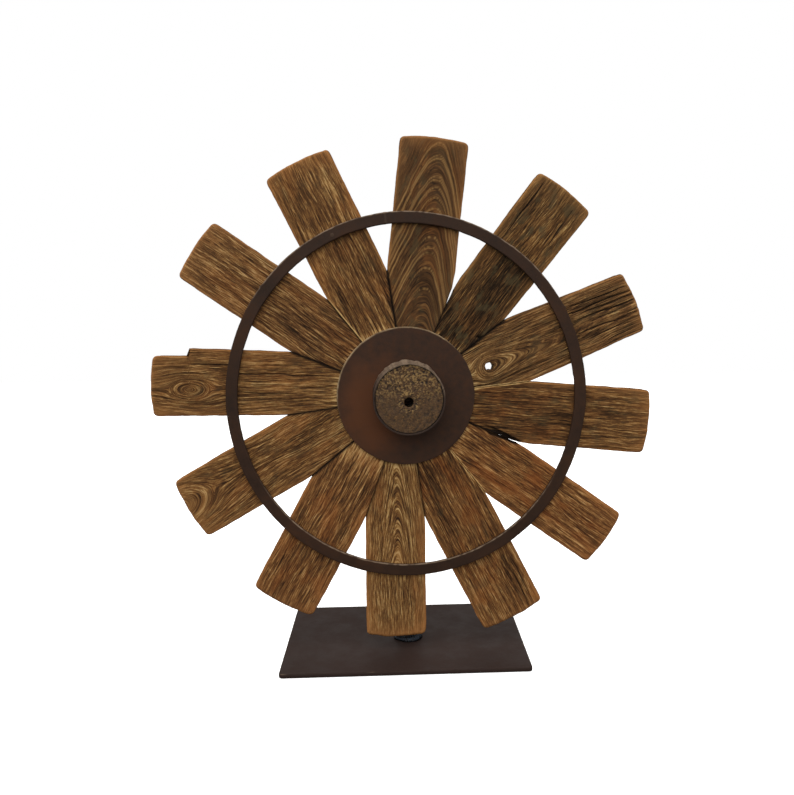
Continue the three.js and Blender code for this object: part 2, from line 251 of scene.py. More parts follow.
class Graph:
    """A short way to write the nodes of one material."""

    def __init__(self, name):
        self.material = bpy.data.materials.new(name)
        self.material.use_nodes = True
        self.tree = self.material.node_tree
        self.shader = self.tree.nodes["Principled BSDF"]

    def put(self, socket, value):
        """A link from a socket, or a plain value."""
        if isinstance(value, bpy.types.NodeSocket):
            self.tree.links.new(value, socket)
        else:
            socket.default_value = value

    def node(self, kind, inputs, **settings):
        made = self.tree.nodes.new("ShaderNode" + kind)
        for key, value in settings.items():
            setattr(made, key, value)
        for key, value in inputs.items():
            self.put(made.inputs[key], value)
        return made

    def math(self, operation, a, b=0.0, clamp=False):
        return self.node("Math", {0: a, 1: b}, operation=operation, use_clamp=clamp).outputs[0]

    def times(self, a, b, clamp=False):
        return self.math("MULTIPLY", a, b, clamp)

    def plus(self, a, b):
        return self.math("ADD", a, b)

    def less(self, a, b, clamp=False):
        return self.math("SUBTRACT", a, b, clamp)

    def weigh(self, a, a_share, b, b_share):
        """A weighted sum."""
        return self.plus(self.times(a, a_share), self.times(b, b_share))

    def remap(self, value, low, high, to_low=0.0, to_high=1.0):
        """A smooth step between two values."""
        inputs = {"Value": value, "From Min": low, "From Max": high, "To Min": to_low, "To Max": to_high}
        return self.node("MapRange", inputs, interpolation_type="SMOOTHSTEP").outputs[0]

    def mix(self, share, under, over):
        """A share of one colour over another. A colour is a socket or three linear numbers."""
        made = self.node("Mix", {0: share}, data_type="RGBA")
        for place, color in ((6, under), (7, over)):
            self.put(made.inputs[place], (*color, 1) if isinstance(color, tuple) else color)
        return made.outputs[2]

    def noise(self, vector, scale, detail, roughness):
        inputs = {"Vector": vector, "Scale": scale, "Detail": detail, "Roughness": roughness}
        return self.node("TexNoise", inputs).outputs[0]

    def ramp(self, value, stops):
        made = self.node("ValToRGB", {"Fac": value})
        elements = made.color_ramp.elements
        while len(elements) < len(stops):
            elements.new(0.5)
        for element, (place, color) in zip(elements, stops):
            element.position = place
            element.color = (*color, 1)
        return made.outputs[0]

    def own_place(self):
        """Millimetres in the piece's own space, so that a finish turns with the wheel."""
        place = self.node("TexCoord", {}).outputs["Object"]
        return self.node("VectorMath", {0: place, "Scale": 1000.0}, operation="SCALE").outputs[0]

    def vector_field(self, name):
        """A field of the mesh with three parts."""
        return self.node("Attribute", {}, attribute_name=name).outputs["Vector"]

    def field(self, name):
        """A field of the mesh with one part."""
        return self.node("Attribute", {}, attribute_name=name).outputs["Fac"]

    def parts(self, vector):
        made = self.node("SeparateXYZ", {0: vector})
        return made.outputs[0], made.outputs[1], made.outputs[2]

    def join(self, x, y, z):
        return self.node("CombineXYZ", {0: x, 1: y, 2: z}).outputs[0]

    def bump(self, height, distance, strength):
        inputs = {"Height": height, "Distance": distance, "Strength": strength}
        self.put(self.shader.inputs["Normal"], self.node("Bump", inputs).outputs[0])

    def set(self, **values):
        """Values on the shader's own sockets, with _ for a space."""
        for key, value in values.items():
            self.put(self.shader.inputs[key.replace("_", " ")], value)


# ------------------------------------------------------------------ wood

# Colours are linear.
OLIVE = (0.066, 0.048, 0.023)
GROWTH_LINE = (0.33, 0.185, 0.066)
CRACK = (0.006, 0.004, 0.003)


def wood_material(name, look):
    """A weathered plank. "grain" holds the distances across and along the grain at a point and how much of a
    growth line is there. "finish" holds the fibre, from dark furrow to pale ridge, whose dark furrows are
    painted shade as well as grain, the wear, and how dark cracks and seams are."""
    g = Graph(name)
    across, along, line = g.parts(g.vector_field("grain"))
    fibre, worn, dark = g.parts(g.vector_field("finish"))
    seed = float(look["seed"])

    def streaks(per_mm, per_mm_along, shift, detail=2.0, roughness=0.55):
        place = g.join(g.times(across, per_mm), g.times(along, per_mm_along), seed + shift)
        return g.noise(place, 1.0, detail, roughness)

    def hairlines(per_mm, per_mm_along, shift, width):
        apart = g.math("ABSOLUTE", g.less(streaks(per_mm, per_mm_along, shift, 2.0, 0.6), 0.5))
        return g.remap(apart, width, 0.0)

    fine = streaks(0.85, 0.034, 0.0, 4.0, 0.74)
    dashes = streaks(0.80, 0.095, 3.0, 4.0, 0.74)
    coarse = streaks(0.16, 0.012, 5.0)
    patches = streaks(0.035, 0.014, 7.0, 3.0, 0.55)
    blotch = streaks(0.09, 0.045, 9.0, 3.0, 0.6)
    pale_lines = hairlines(0.22, 0.011, 12.0, 0.035)
    dark_lines = hairlines(0.26, 0.010, 15.0, 0.030)

    # The fibre darkens the relief's furrows: painted shade, on top of the grain's own tone.
    tone = g.times(fibre, look["furrow"])
    shares = ((fine, look["fine"]), (dashes, look["dashes"]), (coarse, look["coarse"]), (patches, CLOUDY))
    for part, share in shares:
        tone = g.plus(tone, g.times(g.less(part, 0.5), share))
    tone = g.plus(tone, 0.34 - 0.5 * (look["furrow"] - 0.35) + look["lift"])
    tone = g.plus(tone, g.times(pale_lines, HAIR))
    tone = g.less(tone, g.times(dark_lines, HAIR * 1.2), clamp=True)
    color = g.ramp(tone, [
        (0.05, look["deep"]), (0.30, look["shade"]), (0.52, look["body"]),
        (0.74, look["light"]), (1.0, look["pale"]),
    ])
    stain = g.remap(patches, 0.48, 0.64, 0.0, look["stain"])
    color = g.mix(g.times(stain, tone), color, look["rust"])
    color = g.mix(g.remap(blotch, 0.50, 0.68, 0.0, look["olive"]), color, OLIVE)
    color = g.mix(g.times(line, look["line"]), color, GROWTH_LINE)
    color = g.mix(g.times(worn, look["worn"], clamp=True), color, look["edge"])
    color = g.mix(g.times(dark, 0.92, clamp=True), color, CRACK)
    g.bump(g.weigh(fine, 0.6, dashes, 0.4), 0.0006, 0.7)
    g.set(Base_Color=color, Roughness=g.remap(fibre, 0.0, 1.0, 0.98, 0.80), Specular_IOR_Level=0.12)
    return g.material


CLOUDY = 0.30               # how much the large soft patches change a plank's tone
HAIR = 0.20                 # how much the hair-thin lines do
WOOD_COLORS = {
    "deep": (0.014, 0.0075, 0.0040), "shade": (0.054, 0.0255, 0.0105), "body": (0.128, 0.0570, 0.0195),
    "light": (0.280, 0.142, 0.045), "pale": (0.54, 0.355, 0.145),
    "rust": (0.225, 0.064, 0.0130), "edge": (0.34, 0.150, 0.048),
}


# How a plank looks. Places on it are u, the distance from the axle along the plank, and v, the
# distance to the right of its middle line, both in millimetres.
#   lift, inner      paler (above 0) or darker, all over and only inside the ring
#   stain, olive     the largest shares of red-brown and of grey-green in its patches
#   worn, tint       how pale its edges are, and what its colours are multiplied by
#   furrow, fine, dashes, coarse    how much each size of streak changes the tone; furrow is the fibre's own share, which paints shade into the relief's furrows
#   dense            how many times closer together the grain's lines are
#   line, pitch      how clear the growth lines are, and how far apart
#   fissure, relief  how open the small cracks are, and how deep the grain is cut
#   glow             how pale the wood is near the hub
#   seams            how dark the left and right mitre is; below 0 it is a pale raw edge
#   arch             (way it points, v of its middle, steepness and bluntness left, the same
#                    right): up to u = arch_to the grain is a pile of arches, and "arcs" are
#                    the places along the plank where pale growth lines stand out
#   swirl            (u, v, half width, length towards the hub, length towards the tip, growth
#                    of that length with distance): the grain parts and flows round it
#   cracks           (v, from u, to u, slant, half width, depth)
#   patches          (u, v, size along, size across, change of tone)
#   holes            (u, v, radius, angle of a notch in the rim)
#   bites            (side, u, length, depth): rotten wood at the left (0) or right (1) mitre
#   gaps             (side, from u, to u, width): a mitre that stands open
#   step             the tip's right corner is broken off in a step
def look(seed, lift, stain, olive, worn=0.45, tint=(1, 1, 1), **more):
    made = {
        "seed": seed, "lift": lift, "inner": 0.0, "stain": stain, "olive": olive, "worn": worn,
        "furrow": 0.30, "fine": 1.85, "dashes": 1.1, "coarse": 0.22, "dense": 1.0, "line": 0.0,
        "pitch": 9.0, "fissure": 0.5, "relief": 0.45, "glow": 0.15,
        "seams": (0.8, 0.8), "arch": None, "arch_to": 400, "arcs": (), "swirl": None, "cracks": (),
        "patches": (), "holes": (), "bites": (), "gaps": (), "step": False,
    }
    made.update(more)
    for name, color in WOOD_COLORS.items():
        made[name] = tuple(part * share for part, share in zip(color, tint))
    return made


LOOKS = [
    look(11, -0.16, 0.40, 0.60, tint=(0.96, 1.0, 1.05), arch=(1, 9, 3.5, 30, 5.0, 18), line=1.0, dense=2.0,
         arcs=(304, 290.5, 287, 266, 262, 252.5, 241, 228, 195, 183, 176, 158, 133), fissure=0.15,
         relief=0.3, fine=0.45, dashes=0.45, coarse=0.0, furrow=0.05, inner=-0.03, glow=0.0,
         seams=(1, 0.7), gaps=((1, 112, 134, 1.3),),
         patches=((143, 8, 24, 13, -0.30), (195, 0, 60, 60, -0.05), (285, -34, 40, 10, 0.25),
                  (120, -12, 30, 8, 0.20))),
    look(12, -0.10, 0.22, 0.80, tint=(0.95, 1.04, 1.06), fissure=0.3, inner=-0.55, glow=0.0,
         seams=(0.7, 1), bites=((1, 111, 2.0, 3.8),), gaps=((0, 112, 134, 1.3),),
         patches=((180, 6, 50, 14, -0.35), (150, -22, 40, 8, 0.15), (175, 30, 50, 6, 0.15),
                  (275, 0, 30, 30, 0.02)),
         cracks=((-27, 222, 308, 0.0, 1.2, 1.4), (22, 225, 300, -0.01, 0.8, 0.8))),
    look(13, -0.09, 0.20, 0.45, tint=(0.96, 1.0, 1.05), swirl=(108, 4.5, 15, 1.2, 1.5, 0.05), fine=2.3,
         pitch=2.9, line=0.40, fissure=0.9, relief=0.7, dense=1.25, coarse=0.1, inner=0.02,
         seams=(1, -0.6), holes=((108, 4.5, 5.2, math.radians(112)),),
         patches=((108, 4.5, 10, 8, -0.35),),
         cracks=((-24, 224, 300, 0.04, 1.0, 1.4), (-17, 215, 300, 0.03, 1.3, 2.2),
                 (-11, 232, 303, 0.02, 1.1, 1.6), (-5, 222, 303, 0.02, 1.3, 2.0),
                 (2, 238, 300, -0.02, 1.0, 1.4), (11, 222, 300, 0.01, 1.0, 1.5),
                 (20, 226, 290, 0.0, 0.8, 1.2))),
    look(14, -0.01, 0.40, 0.45, fissure=0.30, inner=-0.30, glow=0.0, seams=(-0.5, 1),
         bites=((1, 126, 22, 3.6),), gaps=((1, 132, 140, 0.6),),
         patches=((160, 22, 40, 10, -0.20), (150, -20, 35, 14, -0.10))),
    look(15, 0.02, 0.75, 0.15, tint=(1.06, 0.97, 0.95), fissure=0.30, seams=(1, -0.4),
         bites=((0, 126, 20, 2.2),), gaps=((0, 132, 140, 0.6),),
         patches=((100, 0, 22, 30, -0.02), (172, 0, 32, 40, -0.08), (260, 0, 40, 30, 0.04))),
    look(16, 0.03, 0.60, 0.35, tint=(1.02, 0.98, 0.97), fissure=0.5, inner=-0.12, glow=0.0,
         seams=(-0.4, 0.5),
         patches=((150, 18, 40, 12, -0.15), (98, 0, 26, 40, -0.52), (178, 0, 32, 40, -0.06)),
         cracks=((-24, 232, 306, 0.0, 0.9, 1.0), (-31, 230, 300, 0.01, 0.9, 1.0),
                 (-17, 232, 306, -0.01, 0.7, 0.8))),
    look(17, 0.07, 0.45, 0.20, worn=0.8, arch=(-1, -3, 9, 12, 9, 12), arch_to=213,
         arcs=(-228, -214, -200, -191, -183, -170, -158, -140), fissure=0.3, line=0.12, fine=2.1,
         dense=1.5, coarse=0.05, furrow=0.25, dashes=1.6, glow=0.0, seams=(0.5, 0.6),
         patches=((300, 0, 14, 50, 0.05), (262, 0, 28, 40, 0.07), (178, 0, 30, 40, 0.04),
                  (150, -3, 30, 12, -0.12))),
    look(18, 0.00, 0.55, 0.20, tint=(1.03, 0.98, 0.98), fissure=0.4, inner=0.02, glow=0.8,
         seams=(0.6, 1), patches=((96, 0, 24, 40, 0.22),)),
    look(19, 0.02, 0.45, 0.35, swirl=(322, 10, 27, 2.2, 4.4, 0), fine=2.2, pitch=5.0, line=0.06,
         fissure=0.3, dense=1.2, coarse=0.05, furrow=0.2, glow=0.30, seams=(1, 0.9),
         patches=((180, 5, 60, 10, -0.15), (160, 24, 50, 8, 0.20))),
    look(20, 0.00, 0.30, 0.30, step=True, swirl=(263, -9, 13, 1.9, 1.9, 0), fine=1.9, pitch=3.6,
         line=0.12, fissure=0.6, relief=0.6, inner=0.06, dense=1.3, coarse=0.12, glow=0.2,
         seams=(0.9, 1),
         patches=((262, -9, 14, 8, -0.30), (222, 0, 10, 20, -0.14), (178, 0, 28, 40, 0.10)),
         cracks=((10, 100, 225, 0.02, 1.1, 1.3), (-12, 140, 215, 0.0, 1.0, 1.2),
                 (22, 200, 262, 0.0, 0.9, 1.0))),
    look(21, 0.04, 0.35, 0.20, tint=(1.0, 1.02, 1.08), fine=2.0, fissure=0.35, relief=0.5,
         inner=-0.22, glow=0.0, seams=(1, 0.9),
         patches=((98, 0, 24, 40, -0.25), (175, 0, 32, 40, -0.06))),
    look(22, 0.00, 0.40, 0.30, fissure=0.35, relief=0.5, inner=-0.06, glow=0.0, seams=(-1, 1),
         patches=((280, -20, 40, 16, -0.20), (270, 25, 50, 10, 0.22), (170, -20, 60, 18, -0.10))),
]

ACROSS = 110                # columns of a plank's grid
ALONG = 136                 # rows of a plank's grid
WALL_ROWS = 5               # rows of faces round a plank's edge
MIDDLE_AT = 250             # the u where a plank's own middle line is found
TIP_DEPTH = 12              # the tip's outline lies within this of the furthest point
STEP_RUN = 0.4              # how far along the plank a broken-off corner takes to step in
DISC_CENTRE, DISC_RADIUS = round_part("hub_front_disc")
HUB_GLOW = (DISC_RADIUS + 40, DISC_RADIUS + 5)      # nearer the hub than this the wood is paler
HUB_FRINGE = (DISC_RADIUS + 8, DISC_RADIUS + 1)     # pale fibres round the disc's edge
RING_INSIDE = (218, 208)    # nearer the hub than this a plank is inside the ring


def outline_of(node):
    """A plank's front outline from its CAD mesh, from its inner left corner over the tip to
    its inner right corner, and the direction that it points in."""
    mesh = frame["nodes"][node].data
    place = np.array([vertex.co for vertex in mesh.vertices]) / MM
    welded, index = np.unique(np.round(place, 2), axis=0, return_inverse=True)
    index = index.ravel()
    in_front = welded[:, 1] < welded[:, 1].min() + 0.05
    faces = [index[list(polygon.vertices)] for polygon in mesh.polygons]
    after = dict(open_edges([corners for corners in faces if in_front[corners].all()]))
    loops = []
    while after:
        start = next(iter(after))
        loop, here = [], start
        while here in after:
            loop.append(here)
            here = after.pop(here)
        loops.append(loop)
    loop = max(loops, key=lambda each: np.ptp(welded[each][:, 0]) + np.ptp(welded[each][:, 2]))
    points = welded[loop][:, (0, 2)] - [HUB_X, HUB_Z]
    nearest = np.argsort(np.hypot(*points.T))[:2]
    count = len(points)
    start = nearest[0] if (nearest[0] - nearest[1]) % count == 1 else nearest[1]
    points = np.roll(points, -start, axis=0)
    rough_axis = points.mean(0) / np.hypot(*points.mean(0))
    sideways = np.array([rough_axis[1], -rough_axis[0]])
    if points[0] @ sideways > points[-1] @ sideways:
        points = points[::-1]
    left = points[2] - points[1]
    right = points[-3] - points[-2]
    axis = left / np.hypot(*left) + right / np.hypot(*right)
    axis /= np.hypot(*axis)
    return points, axis


def carried_on(x, xs, ys):
    """Linear interpolation that carries on past both ends in a straight line."""
    inside = np.interp(x, xs, ys)
    before = ys[0] + (x - xs[0]) * (ys[1] - ys[0]) / (xs[1] - xs[0])
    beyond = ys[-1] + (x - xs[-1]) * (ys[-1] - ys[-2]) / (xs[-1] - xs[-2])
    return np.where(x < xs[0], before, np.where(x > xs[-1], beyond, inside))


def distance_to(u, v, chain):
    """Distance from each point to an open line."""
    best = np.full(u.shape, 1e9)
    for (ua, va), (ub, vb) in zip(chain[:-1], chain[1:]):
        du, dv = ub - ua, vb - va
        share = np.clip(((u - ua) * du + (v - va) * dv) / (du * du + dv * dv), 0, 1)
        best = np.minimum(best, np.hypot(u - ua - share * du, v - va - share * dv))
    return best


def spaced(count, crowd):
    """From 0 to 1, closer together near both ends."""
    t = np.linspace(0, 1, count + 1)
    return (1 - crowd) * t + crowd * (1 - np.cos(math.pi * t)) / 2


def wander(u, v, seed):
    """How far the grain strays sideways at a place, in millimetres."""
    return 7 * (cloud(u / 95, v / 60, seed) - 0.5) + 2.2 * (cloud(u / 24, v / 12, seed + 5) - 0.5)


def grain_of(look, u, v, depth):
    """Distances across and along the grain. It wanders, and parts round a swirl."""
    seed = look["seed"] * 100
    across = v + 0.55 * depth + wander(u, v, seed)
    along = u + 0.2 * depth
    shown = 0.0
    if look["arch"]:
        way, v0, steep_left, blunt_left, steep_right, blunt_right = look["arch"]
        dv = across - v0
        steep = np.where(dv < 0, steep_left, steep_right)
        blunt = np.where(dv < 0, blunt_left, blunt_right)
        climb = way * u + steep * (np.hypot(blunt, dv) - blunt) + 3 * (cloud(u / 16, v / 9, seed + 7) - 0.5)
        slope = np.hypot(1, steep * dv / np.hypot(blunt, dv))
        for place in look["arcs"]:
            width = 0.40 + 0.45 * noise(dv / 11, place, seed + 8)
            faint = 0.35 + 0.65 * noise(dv / 14, place, seed + 9)
            shown = np.maximum(shown, faint * np.exp(-((climb - place) / slope / width) ** 2))
        arched = (u < look["arch_to"]) | (depth > 9)
        across = np.where(arched, climb / max(steep_left, steep_right), across)
        along = np.where(arched, 0.8 * along + dv, along)
        shown = shown * arched
    if look["swirl"]:
        u0, v0, size, to_hub, to_tip, growth = look["swirl"]
        du, dv = u - u0, across - v0 - wander(u0, v0, seed)
        reach = np.hypot(du / np.where(du > 0, to_tip + growth * du, to_hub), dv)
        around = dv * (1 - (size / np.maximum(reach, size)) ** 2)
        across = np.where(reach < size, reach - size, around)
        along = along + 0.9 * dv
    return across * look["dense"], along, shown


def cracks_of(look, u, v):
    """At points of a plank: how open its long cracks are, and how deep."""
    crack, cut = np.zeros(u.shape), np.zeros(u.shape)
    for v0, start, end, slant, width, deep in look["cracks"]:
        share = np.clip((u - start) / (end - start), 0, 1)
        half = width * np.sqrt(np.sin(math.pi * share))
        centre = v0 + slant * (u - start) + 2.4 * (noise(u / 17, 0 * u + v0, look["seed"] * 100 + 6) - 0.5)
        inside = np.clip(1.25 - np.abs(v - centre) / (half + 1e-6), 0, 1) * (half > 0.02)
        crack = np.maximum(crack, inside)
        cut = np.maximum(cut, deep * inside)
    return crack, cut


def mitres_of(look, u, to_left, to_right):
    """At points of a plank: how dark its mitres are, how pale their raw edges, and how deep
    the bites out of them."""
    seam, raw, cut = 0.0, 0.0, 0.0
    for distance, strength in zip((to_left, to_right), look["seams"]):
        seam = seam + max(strength, 0) * np.exp(-(distance / 1.7) ** 2)
        raw = raw + max(-strength, 0) * np.exp(-((distance - 0.6) / 0.65) ** 2)
    for side, place, length, deep in look["bites"]:
        distance = (to_left, to_right)[side]
        reach = deep * (0.5 + 1.1 * cloud(u / 7, 0 * u + side, look["seed"] * 100 + 36))
        shape = np.exp(-(((u - place) / length) ** 4)) * step_up(distance, reach + 1.2, reach)
        seam = seam + shape
        cut = np.maximum(cut, 4 * shape)
    return seam, raw, cut


def wood_fields(look, u, v, depth, edges):
    """Everything about the wood at points of a plank: relief, and what the material reads."""
    seed = look["seed"] * 100
    across, along, shown = grain_of(look, u, v, depth)
    fibre = (
        0.20 * noise(across / 3.2, along / 60, seed + 1)
        + 0.42 * noise(across / 1.6, along / 38, seed + 2)
        + 0.38 * noise(across / 1.0, along / 24, seed + 3)
    )
    fibre = np.clip(0.5 + (fibre - 0.5) * 2.2, 0, 1)
    phase = across / look["pitch"] + 0.5 * (cloud(across / 14, along / 60, seed + 8) - 0.5)
    line = np.exp(-(((phase % 1) - 0.5) / 0.13) ** 2)
    line = line * step_up(noise(across / 5, along / 16, seed + 4), 0.15, 0.6)
    if look["arcs"]:
        line = shown
    fissure = step_up(noise(across / 1.9, along / 60, seed + 40), 0.74, 0.86) * look["fissure"]
    to_left, to_right, to_side, to_tip = edges
    crack, crack_cut = cracks_of(look, u, v)
    seam, raw, bite_cut = mitres_of(look, u, to_left, to_right)
    pits = step_up(cloud(u / 2.2, v / 1.6, seed + 11, 2), 0.70, 0.80) * 0.5
    bright = 0.0
    for u0, v0, size_along, size_across, change in look["patches"]:
        bright = bright + change * np.exp(-((u - u0) / size_along) ** 2 - ((v - v0) / size_across) ** 2)
    from_hub = np.hypot(u - look["disc"][0], v - look["disc"][1])
    glow = look["glow"] * step_up(from_hub, *HUB_GLOW) + fibre * step_up(from_hub, *HUB_FRINGE)
    # The fibre that sinks the relief also darkens its furrows, as painted shade.
    tone = np.clip(fibre + bright + glow * (0.4 + fibre), 0, 2.2)
    ragged = 0.45 + 0.9 * cloud(u / 14, v / 9, seed + 13)
    worn = np.exp(-to_side / 4.5) * ragged + np.exp(-to_tip / 10) * ragged
    worn = worn + 0.9 * np.exp(-(np.minimum(to_side, to_tip) / 1.6) ** 2)
    tone = tone + look["inner"] * step_up(u, *RING_INSIDE) + 4.5 * raw
    dark = np.clip(0.75 * fissure + crack + 0.5 * pits + seam, 0, 1)
    relief = -look["relief"] * (1 - fibre) - 0.9 * fissure - np.maximum(crack_cut, bite_cut) - 0.35 * pits
    relief = relief - 0.35 * cloud(u / 55, v / 30, seed + 21)
    return {
        "relief": relief,
        "grain": np.stack([across, along, line], -1),
        "finish": np.stack([tone, np.clip(worn, 0, 1.6), dark], -1),
    }


def rounding(distance, radius):
    """How far a worn edge drops below the face, at a distance from the edge."""
    reach = np.clip(1 - distance / radius, 0, 1)
    return radius * (1 - np.sqrt(np.clip(1 - reach * reach, 0, 1)))


def plank_grid(look, left, right, tip):
    """The grid of a plank's face: u and v, in rows from the hub to the tip and columns from
    the left edge to the right one. The edges wander a little and follow bites and gaps."""
    seed = look["seed"] * 100

    def left_at(u):
        return carried_on(u, left[:, 0], left[:, 1])

    def right_at(u):
        return carried_on(u, right[:, 0], right[:, 1])

    share_at_tip = (tip[:, 1] - left_at(tip[:, 0])) / (right_at(tip[:, 0]) - left_at(tip[:, 0]))
    column = spaced(ACROSS, 0.55)
    row = spaced(ALONG, 0.35)
    u_tip = np.interp(column, share_at_tip, tip[:, 0])
    from_corner = step_up(np.minimum(column, 1 - column), 0, 0.1)
    u_tip = u_tip + (0.6 - 0.7 * cloud(column * 6, column * 0, seed + 31)) * from_corner
    u_inner = left[0, 0] + (right[0, 0] - left[0, 0]) * column
    u = u_inner + (u_tip - u_inner) * row[:, None]
    free = step_up(u, left[1, 0] - 2, left[1, 0] + 14)
    left_edge = left_at(u) + free * (0.9 * cloud(u / 13, 0 * u + 2, seed + 32) - 0.8)
    free = step_up(u, right[1, 0] - 2, right[1, 0] + 14)
    right_edge = right_at(u) - free * (0.9 * cloud(u / 13, 0 * u + 7, seed + 33) - 0.8)
    for side, place, length, deep in look["bites"]:
        crumbled = step_up(noise(u / 3.1, 0 * u, seed + 35), 0.4, 0.8)
        bite = 0.12 * deep * np.exp(-(((u - place) / length) ** 2)) * crumbled
        left_edge = left_edge + bite * (side == 0)
        right_edge = right_edge - bite * (side == 1)
    for side, start, end, deep in look["gaps"]:
        opened = deep * step_up(u, start, end) * step_up(u, end + 25, end)
        left_edge = left_edge + opened * (side == 0)
        right_edge = right_edge - opened * (side == 1)
    return u, left_edge + (right_edge - left_edge) * column


def punched(look, u, v):
    """The grid with the rims of its holes made round, and which of its quads are holes."""
    rows, columns = u.shape
    hole = np.zeros((rows - 1, columns - 1), bool)
    centre_u, centre_v = (u[:-1, :-1] + u[1:, 1:]) / 2, (v[:-1, :-1] + v[1:, 1:]) / 2
    for hole_u, hole_v, radius, notch in look["holes"]:
        hole |= np.hypot(centre_u - hole_u, centre_v - hole_v) < radius
        touched = np.zeros((rows, columns), int)
        for i in (0, 1):
            for j in (0, 1):
                touched[i:rows - 1 + i, j:columns - 1 + j] += hole
        rim = (touched > 0) & (touched < 4)
        turn = np.arctan2(v - hole_v, u - hole_u)
        uneven = noise(2 + 1.3 * np.cos(turn), 2 + 1.3 * np.sin(turn), look["seed"] * 100 + 50)
        reach = radius * (0.72 + 0.5 * uneven)
        reach = reach * (1 - 0.4 * np.exp(-((turn - notch) / 0.4) ** 2))
        u = np.where(rim, hole_u + reach * np.cos(turn), u)
        v = np.where(rim, hole_v + reach * np.sin(turn), v)
    return u, v, hole


def inward_of(loop_u, loop_v):
    """At each point of a closed loop, the unit vector that points into it."""
    tangent_u = np.roll(loop_u, -1) - np.roll(loop_u, 1)
    tangent_v = np.roll(loop_v, -1) - np.roll(loop_v, 1)
    length = np.hypot(tangent_u, tangent_v) + 1e-9
    inward_u, inward_v = -tangent_v / length, tangent_u / length
    to_middle = (loop_u.mean() - loop_u) * inward_u + (loop_v.mean() - loop_v) * inward_v
    if np.mean(to_middle) < 0:
        return -inward_u, -inward_v
    return inward_u, inward_v


def plank_faces(rows, columns, rim_loop, hole):
    """Quads of the front, the back, the wall round them, and the walls of holes."""
    count = rows * columns
    quads = grid_faces(rows, columns)
    kept = ~hole.ravel()
    faces = [quads[kept], quads[kept][:, ::-1] + count]
    loop_size = len(rim_loop)
    ladder = [rim_loop]
    ladder += [2 * count + step * loop_size + np.arange(loop_size) for step in range(WALL_ROWS - 1)]
    ladder.append(rim_loop + count)
    for upper, lower in zip(ladder[:-1], ladder[1:]):
        faces.append(np.stack([np.roll(upper, -1), upper, lower, np.roll(lower, -1)], 1))
    for a, b in open_edges(quads[~kept]):
        faces.append(np.array([[a, b, b + count, a + count]]))
    return np.concatenate(faces)


